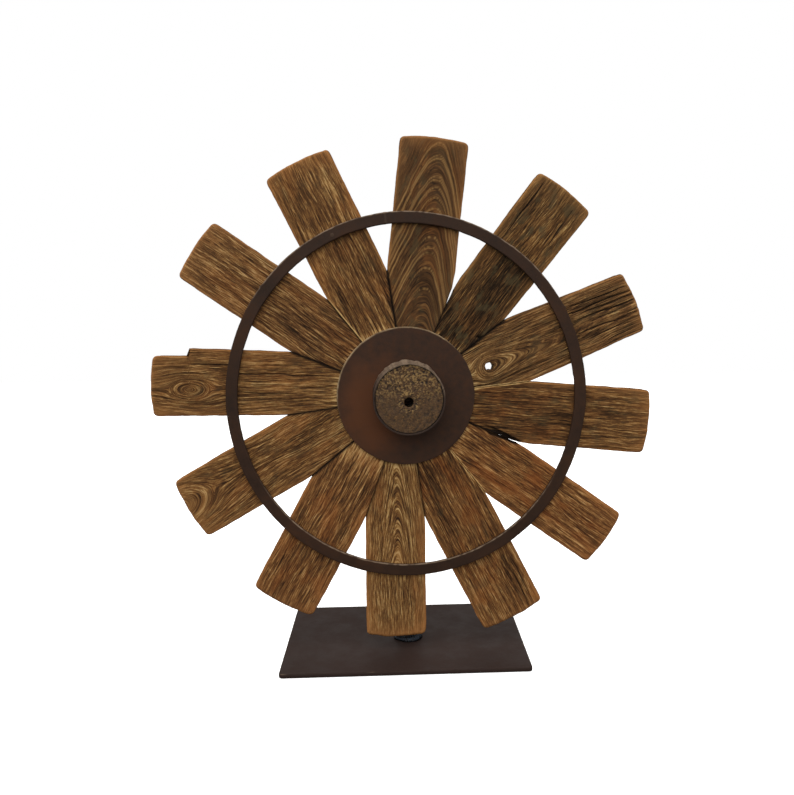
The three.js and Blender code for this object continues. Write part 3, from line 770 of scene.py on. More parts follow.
def make_plank(index):
    """A plank round its CAD solid: both faces as a fine grid, with a worn wall between them."""
    node = f"plank_{index + 1:02d}"
    look = LOOKS[index]
    seed = look["seed"] * 100
    points, axis = outline_of(node)
    sideways = np.array([axis[1], -axis[0]])
    u_line, v_line = points @ axis, points @ sideways
    at_tip = np.nonzero(u_line > u_line.max() - TIP_DEPTH)[0]
    first, last = at_tip[0], at_tip[-1]
    left = np.stack([u_line[:first + 1], v_line[:first + 1]], 1)
    right = np.stack([u_line[last:], v_line[last:]], 1)[::-1]
    tip = np.stack([u_line[first:last + 1], v_line[first:last + 1]], 1)
    middle_line = sum(np.interp(MIDDLE_AT, side[:, 0], side[:, 1]) for side in (left, right)) / 2
    look["disc"] = (DISC_CENTRE @ axis, DISC_CENTRE @ sideways - middle_line)
    for chain in (left, right, tip):
        chain[:, 1] -= middle_line
    if look["step"]:
        right[-2, 0] = right[-3, 0] + STEP_RUN

    u, v = plank_grid(look, left, right, tip)
    rows, columns = u.shape
    back, front = layers(node)

    def edges_at(u, v):
        to_side = np.minimum(distance_to(u, v, left[1:]), distance_to(u, v, right[1:]))
        return distance_to(u, v, left[:2]), distance_to(u, v, right[:2]), to_side, distance_to(u, v, tip)

    def face_fields(depth):
        edges = edges_at(u, v)
        fields = wood_fields(look, u, v, np.full(u.shape, depth), edges)
        softness = 1.5 + 1.6 * cloud(u / 21, v / 21, seed + 34)
        drop = np.maximum(rounding(edges[2], softness), rounding(edges[3], softness * 1.25))
        drop = np.maximum(drop, rounding(np.minimum(edges[0], edges[1]), 0.8))
        edge_share = np.clip(np.minimum.reduce(edges) / 1.5, 0, 1)
        fields["rise"] = fields["relief"] * (0.4 + 0.6 * edge_share) - drop
        return fields

    fore, aft = face_fields(0.0), face_fields(front - back)
    fore_forward = (front + fore["rise"]).ravel()
    aft_forward = (back - aft["rise"]).ravel()
    u, v, hole = punched(look, u, v)

    number = np.arange(rows * columns).reshape(rows, columns)
    rim_loop = np.concatenate([number[0, :], number[1:, -1], number[-1, -2::-1], number[-2:0:-1, 0]])
    flat_u, flat_v = u.ravel(), v.ravel()
    loop_u, loop_v = flat_u[rim_loop], flat_v[rim_loop]
    inward_u, inward_v = inward_of(loop_u, loop_v)
    start, end = fore_forward[rim_loop], aft_forward[rim_loop]
    u_parts, v_parts, forward_parts = [flat_u, flat_u], [flat_v, flat_v], [fore_forward, aft_forward]
    grain = [fore["grain"].reshape(-1, 3), aft["grain"].reshape(-1, 3)]
    finish = [fore["finish"].reshape(-1, 3), aft["finish"].reshape(-1, 3)]
    for step in range(1, WALL_ROWS):
        share = step / WALL_ROWS
        forward = start + (end - start) * share
        edges = edges_at(loop_u, loop_v)
        fields = wood_fields(look, loop_u, loop_v, front - forward, edges)
        shallow = np.clip(np.minimum(edges[0], edges[1]) / 3, 0, 1)
        sink = 0.25 + 0.5 * cloud(loop_u / 9 + share * 3, loop_v / 9, seed + 60)
        push = (sink * shallow - 0.45 * (1 - shallow)) * math.sin(math.pi * share)
        u_parts.append(loop_u + inward_u * push)
        v_parts.append(loop_v + inward_v * push)
        forward_parts.append(forward)
        grain.append(fields["grain"])
        finish.append(fields["finish"] * [1, 0.5, 1])
    all_u, all_v = np.concatenate(u_parts), np.concatenate(v_parts)
    plane = all_u[:, None] * axis + (all_v + middle_line)[:, None] * sideways
    place = world(plane[:, 0], plane[:, 1], np.concatenate(forward_parts))

    faces = plank_faces(rows, columns, rim_loop, hole)
    fields = {"grain": np.concatenate(grain), "finish": np.concatenate(finish)}
    used = np.unique(faces)
    renumber = np.full(len(place), -1)
    renumber[used] = np.arange(len(used))
    fields = {name: values[used] for name, values in fields.items()}
    material = wood_material(f"weathered_wood_{index + 1:02d}", look)
    make_piece(node, place[used], renumber[faces].tolist(), material, "wheel", fields)


# ------------------------------------------------------------------ metal

# Colours on the metal, linear: pale wear, which also serves as painted highlights on edges that face up, a
# painted reddish reflection on the disc, and dust.
WEAR_AND_HIGHLIGHT_STEEL = (0.24, 0.17, 0.115)
DISC_WEAR_AND_HIGHLIGHT = (0.42, 0.30, 0.17)
PAINTED_REFLECTION_TINT = (0.098, 0.0330, 0.0110)
DISC_DUST = (0.070, 0.030, 0.014)
PAINTED_REFLECTION_AT = (40, 14)          # the middle of the disc's painted reddish reflection, left of and below the axle


def steel_material(name, dark, body, warm, rough, metal, grain=1.0, specular=0.5, warm_share=0.6):
    """Dark steel under a thin brown patina, with mottling at three sizes."""
    g = Graph(name)
    place = g.own_place()
    large = g.noise(place, 0.016 * grain, 3.0, 0.6)
    medium = g.noise(place, 0.09 * grain, 4.0, 0.65)
    small = g.noise(place, 0.6 * grain, 3.0, 0.7)
    color = g.ramp(g.weigh(large, 0.55, medium, 0.45), [(0.34, dark), (0.50, body), (0.66, warm)])
    color = g.mix(g.times(g.remap(small, 0.42, 0.72), warm_share), color, warm)
    # Paler where worn, and painted highlights where the ring's and the sleeve's parts face up.
    color = g.mix(g.times(g.remap(g.field("mark"), 0.05, 1.0), 0.85), color, WEAR_AND_HIGHLIGHT_STEEL)
    roughness = g.remap(medium, 0.3, 0.7, rough - 0.08, rough + 0.10)
    g.set(Base_Color=color, Roughness=roughness, Metallic=metal, Specular_IOR_Level=specular)
    g.bump(g.weigh(medium, 0.7, small, 0.3), 0.0006, 0.5)
    return g.material


def disc_material(name):
    """The hub's disc: brown patina with a painted reddish reflection left of and below the boss, which also
    lightens the shade below it.
    """
    g = Graph(name)
    place = g.own_place()
    x, y, z = g.parts(place)
    large = g.noise(place, 0.022, 3.0, 0.6)
    medium = g.noise(place, 0.12, 4.0, 0.65)
    small = g.noise(place, 0.7, 3.0, 0.7)
    dx = g.less(x, HUB_X - PAINTED_REFLECTION_AT[0])
    dz = g.less(z, HUB_Z - PAINTED_REFLECTION_AT[1])
    far = g.math("SQRT", g.plus(g.math("POWER", dx, 2.0), g.times(g.math("POWER", dz, 2.0), 0.55)))
    far = g.plus(far, g.times(g.less(large, 0.5), 60.0))
    # Painted reflection: a reddish patch left of and below the boss, its lower part lightening the boss's
    # shade.
    painted_reflection = g.remap(far, 58.0, 18.0)
    color = g.ramp(medium, [
        (0.3, (0.028, 0.0140, 0.0085)), (0.55, (0.041, 0.0185, 0.0100)), (0.75, (0.053, 0.0220, 0.0100)),
    ])
    color = g.mix(g.times(painted_reflection, 0.8), color, PAINTED_REFLECTION_TINT)
    color = g.mix(g.times(g.remap(small, 0.5, 0.75), 0.3), color, DISC_DUST)
    # A paler rim: wear all round, and a painted highlight where it faces up and left.
    color = g.mix(g.times(g.remap(g.field("mark"), 0.05, 1.0), 0.85), color, DISC_WEAR_AND_HIGHLIGHT)
    roughness = g.remap(medium, 0.3, 0.7, 0.5, 0.66)
    g.set(Base_Color=color, Roughness=roughness, Metallic=0.1, Specular_IOR_Level=0.2)
    g.bump(g.weigh(medium, 0.7, small, 0.3), 0.0005, 0.5)
    return g.material


def plug_material(name):
    """The mottled plug in the boss: pitted golden brown with grey-green, and paler flecks."""
    g = Graph(name)
    place = g.own_place()
    medium = g.noise(place, 0.10, 4.0, 0.65)
    small = g.noise(place, 0.42, 4.0, 0.75)
    tiny = g.noise(place, 1.1, 2.0, 0.7)
    mottle = g.weigh(small, 0.65, tiny, 0.35)
    color = g.ramp(mottle, [
        (0.34, (0.015, 0.009, 0.0045)), (0.46, (0.055, 0.028, 0.0115)), (0.57, (0.100, 0.050, 0.0185)),
        (0.70, (0.25, 0.135, 0.048)),
    ])
    color = g.mix(g.remap(medium, 0.45, 0.65, 0.0, 0.60), color, (0.072, 0.0385, 0.0195))
    # Near black for pits, and painted shade round the plug's rim where it meets the sleeve.
    color = g.mix(g.times(g.field("pit"), 0.9), color, (0.010, 0.007, 0.005))
    color = g.mix(g.times(g.field("fleck"), 0.75), color, (0.34, 0.210, 0.075))
    g.set(Base_Color=color, Roughness=g.remap(small, 0.3, 0.7, 0.6, 0.85), Specular_IOR_Level=0.3)
    g.bump(mottle, 0.0008, 0.9)
    return g.material


def weld_material(name):
    """Bare weld metal with a blue temper film."""
    g = Graph(name)
    place = g.own_place()
    medium = g.noise(place, 0.16, 3.0, 0.6)
    small = g.noise(place, 0.8, 3.0, 0.6)
    color = g.ramp(medium, [
        (0.32, (0.007, 0.009, 0.013)), (0.48, (0.022, 0.028, 0.038)), (0.58, (0.012, 0.011, 0.012)),
        (0.72, (0.14, 0.16, 0.19)),
    ])
    g.set(Base_Color=color, Roughness=g.remap(small, 0.3, 0.7, 0.14, 0.32), Metallic=0.85)
    g.bump(small, 0.0004, 0.5)
    return g.material


def rubber_material(name):
    """Black rubber with a little dust on it."""
    g = Graph(name)
    place = g.own_place()
    small = g.noise(place, 0.5, 3.0, 0.6)
    dust = g.remap(g.noise(place, 0.12, 3.0, 0.6), 0.45, 0.7)
    color = g.mix(g.times(dust, 0.3), (0.012, 0.011, 0.011), (0.045, 0.042, 0.038))
    g.set(Base_Color=color, Roughness=g.remap(small, 0.3, 0.7, 0.62, 0.8))
    g.bump(small, 0.0002, 0.4)
    return g.material


RUSTED = steel_material("rusted_steel", (0.021, 0.0105, 0.0060), (0.032, 0.0150, 0.0080),
                        (0.047, 0.0195, 0.0085), 0.60, 0.1, 1.0, 0.2, 0.35)
BASE = steel_material("base_steel", (0.0255, 0.0162, 0.0140), (0.0290, 0.0182, 0.0155),
                      (0.0325, 0.0198, 0.0165), 0.62, 0.0, 0.35, 0.08, 0.10)
SLEEVE = steel_material("sleeve_steel", (0.022, 0.0140, 0.0110), (0.033, 0.0195, 0.0145),
                        (0.047, 0.027, 0.019), 0.60, 0.05, 1.6, 0.2, 0.3)
PLAIN = steel_material("plain_steel", (0.10, 0.095, 0.09), (0.22, 0.21, 0.20), (0.20, 0.15, 0.11),
                       0.36, 0.85, 3.0, 0.5, 0.35)
BRONZE = steel_material("bronze", (0.20, 0.12, 0.045), (0.36, 0.23, 0.09), (0.28, 0.19, 0.10),
                        0.34, 0.9, 3.0, 0.5, 0.3)
DISC = disc_material("disc_patina")
PLUG = plug_material("plug_end_grain")
WELD = weld_material("weld_steel")
RUBBER = rubber_material("cap_rubber")


def loop_noise(angle, size, seed):
    """Noise that closes on itself round a circle."""
    return noise(50 + size * np.cos(angle), 50 + size * np.sin(angle), seed) - 0.5


def soft_section(low, high, back, front, bevel, face_rows, wall_rows=2):
    """A closed section with bevelled corners, as [radial place, forward] pairs: the front
    face from low to high, the outer wall, the back face, and the inner wall."""
    walls = np.linspace(0, 1, wall_rows + 1)[1:]

    def corner(radial, forward, way_out, way_front, swap, steps):
        pairs = []
        for turn in np.linspace(0, math.pi / 2, 4)[steps]:
            out, up = (math.cos(turn), math.sin(turn)) if swap else (math.sin(turn), math.cos(turn))
            pairs.append((radial + way_out * bevel * out, forward + way_front * bevel * up))
        return pairs

    pairs = [(radial, front) for radial in np.linspace(low + bevel, high - bevel, face_rows + 1)]
    pairs += corner(high - bevel, front - bevel, 1, 1, False, slice(1, None))
    pairs += [(high, front - bevel + (back - front + 2 * bevel) * share) for share in walls]
    pairs += corner(high - bevel, back + bevel, 1, -1, True, slice(1, None))
    pairs += [(radial, back) for radial in np.linspace(high - bevel, low + bevel, 5)[1:]]
    pairs += corner(low + bevel, back + bevel, -1, -1, False, slice(1, None))
    pairs += [(low, back + bevel + (front - back - 2 * bevel) * share) for share in walls]
    pairs += corner(low + bevel, front - bevel, -1, 1, True, slice(1, -1))
    return np.array(pairs)


RING_WIDTH = 14
RING_PROUD = 0.6            # how far the ring's worn edge stands out past the CAD's
RING_WELD_AT = math.radians(353.7)
RING_BURRS = ((math.radians(307.5), 1.3), (math.radians(61.4), 1.6), (math.radians(36.3), 0.5))


def make_ring():
    """A rolled flat bar, a little wavy, with a weld seam and a few burrs on its rim, and painted highlights
    on the edges that face up.
    """
    low, high = span("ring")
    centre = in_wheel((low + high) / 2)
    half_x, half_z = (high[0] - low[0]) / 2, (high[2] - low[2]) / 2
    back, front = layers("ring")
    turn = angles(720)[:, None]

    def gap_to(place):
        return np.abs((turn - place + math.pi) % TAU - math.pi) * half_x

    inset, forward = soft_section(-RING_WIDTH, 0, back, front, 0.55, 9, 3).T
    wave = 0.7 * loop_noise(turn, 3.0, 5) + 0.35 * loop_noise(turn, 14.0, 6)
    nick = 0.30 * loop_noise(turn, 60.0, 7)
    outer = step_up(inset, -3.0, 0.0)
    inner = step_up(-inset, RING_WIDTH - 3.0, RING_WIDTH)
    radial = RING_PROUD + inset + wave + nick * outer - 0.3 * loop_noise(turn, 50.0, 8) * inner
    for place, height in RING_BURRS:
        radial = radial + height * outer * np.exp(-(gap_to(place) / 1.7) ** 2)
    weld = np.exp(-(gap_to(RING_WELD_AT) / 1.3) ** 2)
    face = (forward > front - 0.7).astype(float)
    forward = forward + 0.35 * loop_noise(turn, 4.0, 9) * face + 0.45 * weld * face
    forward = np.maximum(forward, back)
    radial = radial + 0.35 * weld * outer
    x = centre[0] + (half_x + radial) * np.sin(turn)
    z = centre[1] + (half_z + radial) * np.cos(turn)
    # Painted highlight: the bevels that face up, the outer one on the top half and the inner one on the
    # bottom half, are painted pale; the weld seam is paler too.
    upper = step_up(np.cos(turn) * np.where(inset > -RING_WIDTH / 2, 1, -1), 0.35, 0.75)
    at_edge = (forward > front - 0.6) * (np.abs(inset + RING_WIDTH / 2) > RING_WIDTH / 2 - 1.0)
    mark = 0.35 * weld * face + at_edge * upper * (0.75 + loop_noise(turn, 60.0, 12))
    make_hoop("ring", world(x, z, forward), RUSTED, "wheel", "rusted_steel", 50, mark=mark)


def make_plate(node, hole_middle, hole_radius, finish, slot, bevel, rows, seed, ragged=0.0, count=160,
               mark=0.0, grow=0.0):
    """A round plate with a round hole that need not share its middle."""
    outer_middle, radius = round_part(node)
    radius += grow
    back, front = layers(node)
    width = radius - hole_radius
    inset, forward = soft_section(0, width, back, front, bevel, rows).T
    turn = angles(count)[:, None]
    share = inset / width
    near_rim = step_up(share, 1 - 4 / width, 1)
    trim = ragged * (cloud(40 + 22 * np.cos(turn), 40 + 22 * np.sin(turn), seed) - 0.45) * near_rim
    x_in, z_in = hole_middle[0] + hole_radius * np.sin(turn), hole_middle[1] + hole_radius * np.cos(turn)
    x_out, z_out = outer_middle[0] + radius * np.sin(turn), outer_middle[1] + radius * np.cos(turn)
    x = x_in + (x_out - x_in) * share + trim * np.sin(turn)
    z = z_in + (z_out - z_in) * share + trim * np.cos(turn)
    dish = 0.30 * (cloud(x / 30 + 9, z / 30 + 9, seed + 1) - 0.5) * (forward > (back + front) / 2)
    # The front rim is worn pale all round, and painted much paler where it faces up and left, as a painted
    # highlight.
    rim = (inset > width - bevel - 0.3) * (forward > front - 0.6)
    rim = rim * (0.4 + 0.6 * cloud(60 + 30 * np.cos(turn), 60 + 30 * np.sin(turn), seed + 2))
    rim = rim * (0.25 + 0.9 * step_up(np.cos(turn + 0.5), 0.1, 0.6)) * (0.5 + cloud(x / 9, z / 9, seed + 3))
    make_hoop(node, world(x, z, forward + dish), finish, "wheel", slot, 50, mark=mark * rim)


SLEEVE_WALL = 2.0
FILLET = 3.4                # the weld between sleeve and disc shows above the sleeve
SLEEVE_CENTRE, SLEEVE_RADIUS = round_part("hub_sleeve")


def make_sleeve():
    """The tube through the hub, a little dented, with a painted highlight on its top and weld at its foot."""
    back, front = layers("hub_sleeve")
    disc_face = layers("hub_front_disc")[1]
    place, forward = soft_section(SLEEVE_RADIUS - SLEEVE_WALL, SLEEVE_RADIUS, back, front, 0.4, 3, 44).T
    turn = angles(240)[:, None]
    dent = 0.35 * loop_noise(turn, 3.0, 71) * step_up(forward, front - 25, front)
    above = step_up(np.cos(turn + 0.25), 0.1, 0.95) * (0.85 + 0.6 * loop_noise(turn, 12.0, 74))
    flare = (place > SLEEVE_RADIUS - 0.1) * above * step_up(forward, disc_face + 5.0, disc_face + 0.5)
    flare = flare * step_up(forward, disc_face - 4.0, disc_face)
    radial = place + dent + FILLET * flare
    chipped = 0.25 * loop_noise(turn, 30.0, 72) * (forward > front - 1)
    points = spun(radial, forward + chipped, turn, SLEEVE_CENTRE)
    # Painted highlight on the upper side of the wall that shows in front of the disc, and a little wear on
    # the front rim.
    upper = step_up(np.cos(turn - 0.15), -0.15, 0.85) * (0.75 + 0.5 * loop_noise(turn, 20.0, 73))
    shows = (place > SLEEVE_RADIUS - SLEEVE_WALL) * step_up(forward, front - 34, front - 26)
    mark = 0.85 * upper * shows + 0.05 * (forward > front - 0.6)
    make_hoop("hub_sleeve", points, SLEEVE, "wheel", "sleeve_steel", 50, mark=mark)


PLUG_HOLE = (1.1, -4.5)     # x and z of the hole's middle, from the axle
PLUG_HOLE_RADIUS = 6.0
PLUG_PITS = ((-4.0, -8.5), (-0.4, -9.6), (3.6, -8.2))       # deep pits, from the hole's middle


def make_plug():
    """The end-grain plug: pitted, with a soft-edged hole, a crater round it, flecks, and painted shade round
    its rim.
    """
    outer, radius = round_part("hub_plug")
    back, front = layers("hub_plug")
    width = radius - PLUG_HOLE_RADIUS
    inset, level = soft_section(0, width, back, front, 0.8, 44, 3).T
    turn = angles(220)[:, None]
    share = inset / width
    reach = PLUG_HOLE_RADIUS + 0.5 * loop_noise(turn, 1.6, 81) - 0.3
    x = (PLUG_HOLE[0] + reach * np.sin(turn)) * (1 - share) + (outer[0] + radius * np.sin(turn)) * share
    z = (PLUG_HOLE[1] + reach * np.cos(turn)) * (1 - share) + (outer[1] + radius * np.cos(turn)) * share
    from_hole_x, from_hole_z = x - PLUG_HOLE[0], z - PLUG_HOLE[1]
    away = np.hypot(from_hole_x, from_hole_z)
    face = level > (back + front) / 2
    rough = cloud(x / 3.2 + 9, z / 3.2 + 9, 82, 3)
    pits = step_up(cloud(x / 2.4 + 30, z / 2.4 + 30, 83, 2), 0.66, 0.78)
    crater = np.exp(-((away - 10.5) / 2.5) ** 2)
    for pit_x, pit_z in PLUG_PITS:
        pits = np.maximum(pits, step_up(np.hypot(from_hole_x - pit_x, from_hole_z - pit_z), 2.0, 1.0))
    upper = step_up(z - outer[1], -8, 22)
    flecks = step_up(cloud(x / 1.4 + 70, z / 1.1 + 70, 84, 2), 0.54, 0.66)
    flecks = flecks * (0.12 + 0.8 * crater + 0.75 * upper)
    pits = pits * (0.35 + 0.65 * np.maximum(upper, crater))
    pits = np.maximum(pits, 0.7 * np.exp(-((away - 9.0) / 1.5) ** 2) * step_up(from_hole_x, 3, 8))
    # Painted shade: a dark band round the plug's rim, in the gap to the sleeve.
    rim = step_up(inset, width - 1.3, width - 0.6)
    lip = step_up(away, PLUG_HOLE_RADIUS + 2.5, PLUG_HOLE_RADIUS)
    relief = -0.7 * (1 - rough) - 0.9 * pits - 0.6 * lip
    make_hoop("hub_plug", world(x, z, level + face * relief), PLUG, "wheel", "end_grain",
              pit=np.clip(face * (pits + 0.6 * step_up(rough, 0.42, 0.25)) + rim, 0, 1),
              fleck=face * np.clip(flecks, 0, 1))


BOLT_RADIUS = 6
NUT_BORE = 6.3
HANDLED = 0.1               # the wear mark on screws, nuts and the washer


def make_nut(node):
    """A chamfered hexagon nut on the axle."""
    back, front = layers(node)
    low, high = span(node)
    flats = high[2] - low[2]
    turn = angles(96)[:, None]
    share, forward = soft_section(0, 1, back, front, 0.0, 3, 2).T
    to_face = np.minimum(forward - back, front - forward)
    circle = flats / 2 * 1.155 - np.clip(1.2 - to_face, 0, None) * 1.7
    outer = np.minimum(hexagon(turn, flats), circle)
    outer = outer - 0.35 * np.exp(-to_face / 0.15)
    radial = NUT_BORE + (outer - NUT_BORE) * share
    points = world(radial * np.cos(turn), radial * np.sin(turn), forward)
    make_hoop(node, points, RUSTED, "stand", "plain_steel", 25, mark=HANDLED)


def make_bolt():
    """The axle bolt: a chamfered hexagon head, a plain shank and a threaded end."""
    back, front = layers("axle_bolt")
    head_front = layers("post")[0] - 0.3
    low, high = span("axle_bolt")
    flats = high[2] - low[2]
    thread_from = layers("front_bush")[1]
    turn = angles(72)
    outer = hexagon(turn, flats)
    rows = []
    for forward, share in ((back, 0.62), (back + 0.01, 0.80), (back + 0.9, 0.97), (back + 1.7, 2),
                           (head_front - 0.8, 2), (head_front, 0.98), (head_front + 0.01, 0.7)):
        rows.append((np.minimum(outer, flats / 2 * share * 1.12), forward))
    rows += [(BOLT_RADIUS, head_front + 0.02), (BOLT_RADIUS, thread_from)]
    pitch = 1.5
    for forward in np.arange(thread_from + 0.4, front - 1.2, pitch / 4):
        groove = 0.32 * (1 + np.cos(TAU * forward / pitch + turn))
        rows.append((BOLT_RADIUS - groove, forward))
    rows += [(5.4, front - 0.8), (4.6, front)]
    points = np.stack([world(reach * np.cos(turn), reach * np.sin(turn), forward) for reach, forward in rows])
    make_rod("axle_bolt", points, RUSTED, "stand", "plain_steel", 30, mark=HANDLED)


def make_washer():
    """A flat washer on the axle."""
    back, front = layers("axle_washer")
    radius = round_part("axle_washer")[1]
    radial, forward = soft_section(NUT_BORE, radius, back, front, 0.35, 6).T
    points = spun(radial, forward, angles(96)[:, None])
    make_hoop("axle_washer", points, PLAIN, "stand", "plain_steel", 40, mark=HANDLED)


def make_bush(node, flange_behind):
    """A flanged bronze bush round the axle. Its bore and barrel are the CAD's."""
    back, front = layers(node)
    flange = round_part(node)[1]
    bore, barrel, thick, bevel = 6.08, 9.0, 1.5, 0.3
    radial, depth = np.array([
        (bore, 0.4), (bore + 0.4, 0), (flange - bevel, 0), (flange, bevel), (flange, thick - bevel),
        (flange - bevel, thick), (barrel, thick), (barrel, front - back - bevel),
        (barrel - bevel, front - back), (bore + 0.4, front - back), (bore, front - back - 0.4),
    ]).T
    forward = back + depth if flange_behind else front - depth
    points = spun(radial, forward, angles(96)[:, None])
    make_hoop(node, points, BRONZE, "wheel", "bronze", 40, mark=0.0)


def turned(profile, centre, count):
    """Rows of a turned piece about a line parallel to the axle, from [radius, forward] pairs."""
    radial, forward = np.array(profile).T[:, :, None]
    return spun(radial, forward, angles(count), centre)


def make_ring_screw(name):
    """A pan-head screw: its head is against the plank's back and its shank runs into the ring.
    One comes through to the ring's front."""
    back, front = layers(name)
    head, shank, seat = 4.8, 2.5, back + 2.6
    ring_front = layers("ring")[1]
    shows = front > ring_front - 1
    end = ring_front + 0.25 if shows else front
    profile = [
        (0.25, back + 0.85), (1.0, back + 0.85), (1.45, back + 0.8), (1.7, back + 0.05), (2.6, back + 0.12),
        (3.6, back + 0.5), (4.35, back + 1.2), (head, back + 2.0), (head, seat - 0.15), (head - 0.2, seat),
        (shank, seat), (shank, end - 0.6), (shank - 0.25, end - 0.15), (shank - 0.8, end), (0.3, end),
    ]
    points = turned(profile, in_wheel(middle(name)), 36)
    finish, mark = (RUSTED, 0.25) if shows else (PLAIN, HANDLED)
    make_rod(name, points, finish, "wheel", "plain_steel", 40, mark=mark)


def make_disc_screw(name):
    """A countersunk wood screw from the rear disc into a plank."""
    back, front = layers(name)
    profile = [
        (0.2, back + 1.3), (0.9, back + 1.2), (1.5, back + 0.9), (1.8, back + 0.1), (2.0, back), (3.7, back),
        (3.9, back + 0.2), (2.0, back + 2.2),
    ]
    for forward in np.arange(back + 3.0, front - 4.0, 0.4):
        profile.append((2.0 - 0.25 * (1 + math.cos(TAU * (forward - back) / 1.6)), forward))
    profile += [(1.6, front - 3.5), (1.1, front - 1.6), (0.4, front)]
    points = turned(profile, in_wheel(middle(name)), 32)
    make_rod(name, points, PLAIN, "wheel", "plain_steel", 40, mark=HANDLED)


# ------------------------------------------------------------------ stand


def unit(vector):
    """A flat vector made one long."""
    return vector / np.hypot(*vector)


def cross(a, b):
    """The cross product of two flat vectors."""
    return a[0] * b[1] - a[1] * b[0]


def plate_corners():
    """The base plate's four corners as if they were sharp, from the lines of its sides."""
    mesh = frame["nodes"]["base_plate"].data
    place = np.array([vertex.co for vertex in mesh.vertices])[:, :2] / MM
    place = np.unique(np.round(place, 2), axis=0)
    middle_place = place.mean(0)
    place = place[np.argsort(np.arctan2(*(place - middle_place).T[::-1]))]
    following = np.roll(place, -1, axis=0)
    longest = np.sort(np.argsort(np.hypot(*(following - place).T))[-4:])
    sides = [(place[k], following[k] - place[k]) for k in longest]
    corners = []
    for (a, along_a), (b, along_b) in zip(sides, sides[1:] + sides[:1]):
        corners.append(a + along_a * cross(b - a, along_b) / cross(along_a, along_b))
    return np.array(corners)


def make_base():
    """A cut steel plate with eased edges and rounded corners, not quite flat."""
    low, high = span("base_plate")
    corners = plate_corners()
    corner_radius, thick, ease = 5.0, high[2] - low[2], 0.7
    outline = []
    for k, corner in enumerate(corners):
        before, after = unit(corners[k - 1] - corner), unit(corners[(k + 1) % 4] - corner)
        inward = (before + after) / abs(cross(before, after))
        first = -unit(after - before * (before @ after))
        second = -unit(before - after * (before @ after))
        for turn in np.linspace(0, math.pi / 2, 8):
            outward = unit(first * math.cos(turn) + second * math.sin(turn))
            outline.append(np.concatenate([corner, inward, outward]))
    dense = []
    for a, b in zip(outline, outline[1:] + outline[:1]):
        gap = np.hypot(*(b[:2] - a[:2] + corner_radius * (b[2:4] - a[2:4] + b[4:] - a[4:])))
        parts = max(1, int(gap / 8))
        dense += [a + (b - a) * k / parts for k in range(parts)]
    dense = np.array(dense)
    corner, inward, outward = dense[:, :2], dense[:, 2:4], dense[:, 4:]
    levels = [(95, 0), (60, 0), (20, 0), (0.7, 0), (0.2, 0.3), (0, ease), (0, thick / 2)]
    levels += [(0, thick - ease), (0.2, thick - 0.3), (0.45, thick - 0.1), (0.8, thick), (3, thick)]
    levels += [(inset, thick) for inset in (8, 16, 26, 38, 52, 68, 84, 95)]
    rows = []
    for inset, height in levels:
        place = corner + inward * max(corner_radius, inset) + outward * max(corner_radius - inset, 0.0)
        x, y = place.T
        sag = 0.25 * cloud(x / 70 + 9, y / 70 + 9, 91) * (height == thick) * min(inset / 8, 1)
        nick = 0.25 * (noise(x / 7 + 50, y / 7 + 50, 92) - 0.5) * (inset < 1)
        rows.append(upright(x + nick * outward[:, 0], y + nick * outward[:, 1], low[2] + height - sag))
    points = np.stack(rows)
    at_edge = np.array([0.1 < inset < 1 and height > ease for inset, height in levels])[:, None]
    flick = step_up(noise(points[..., 0] / MM / 5 + 9, points[..., 1] / MM / 5 + 9, 93), 0.78, 0.92)
    make_rod("base_plate", points, BASE, "stand", "base_steel", 50, mark=0.5 * at_edge * flick)


POST_WALL = 2.6


def make_post():
    """The post's tube. The bolt hides the hole that it goes through, which is left out."""
    low, high = span("post")
    radius = (high[1] - low[1]) / 2
    radial, share = soft_section(radius - POST_WALL, radius, 0, 1, 0, 2, 60).T
    height = low[2] + (high[2] - low[2]) * share
    turn = angles(72)[:, None]
    outside = radial > radius - 0.1
    skin = 0.12 * (cloud(turn * 4, height / 12 + 0 * turn, 95) - 0.5) * outside
    radial = radial + skin - 0.3 * (np.abs(height - high[2]) < 0.1) * outside
    points = spun_upright(radial, height, turn, (low + high) / 2)
    make_hoop("post", points, RUSTED, "stand", "rusted_steel", 50, mark=0.0)


def make_bead():
    """A hand-laid weld: overlapping ripples, uneven in width and height, with one lump."""
    low, high = span("post_weld_bead")
    outer = (high[1] - low[1]) / 2
    inner = (span("post")[1][1] - span("post")[0][1]) / 2 + 0.3
    turn = angles(300)[:, None]
    ripple = np.abs(np.sin(turn * 17 + 1.5 * loop_noise(turn, 2.0, 96)))
    swell = 1 + 0.35 * loop_noise(turn, 1.5, 97) + 0.12 * (ripple - 0.6)
    lump = np.exp(-(((turn - math.radians(248) + math.pi) % TAU - math.pi) / 0.28) ** 2)
    width = (outer - inner) * np.minimum(swell, 1.15) + 2.2 * lump
    height = (high[2] - low[2]) * np.minimum(swell, 1.12) + 1.0 * lump
    lean = np.linspace(0, math.pi / 2, 9)[None, :]
    radial = inner + width * np.cos(lean) * (1 - 0.12 * np.sin(2 * lean))
    rise = low[2] + height * np.sin(lean) * (1 - 0.10 * np.sin(2 * lean))
    radial = np.concatenate([radial, np.full((len(turn), 2), inner)], 1)
    rise = np.concatenate([rise, low[2] + height * [0.5, 0.0]], 1)
    points = spun_upright(radial, rise, turn, (low + high) / 2)
    make_hoop("post_weld_bead", points, WELD, "stand", "weld_steel")


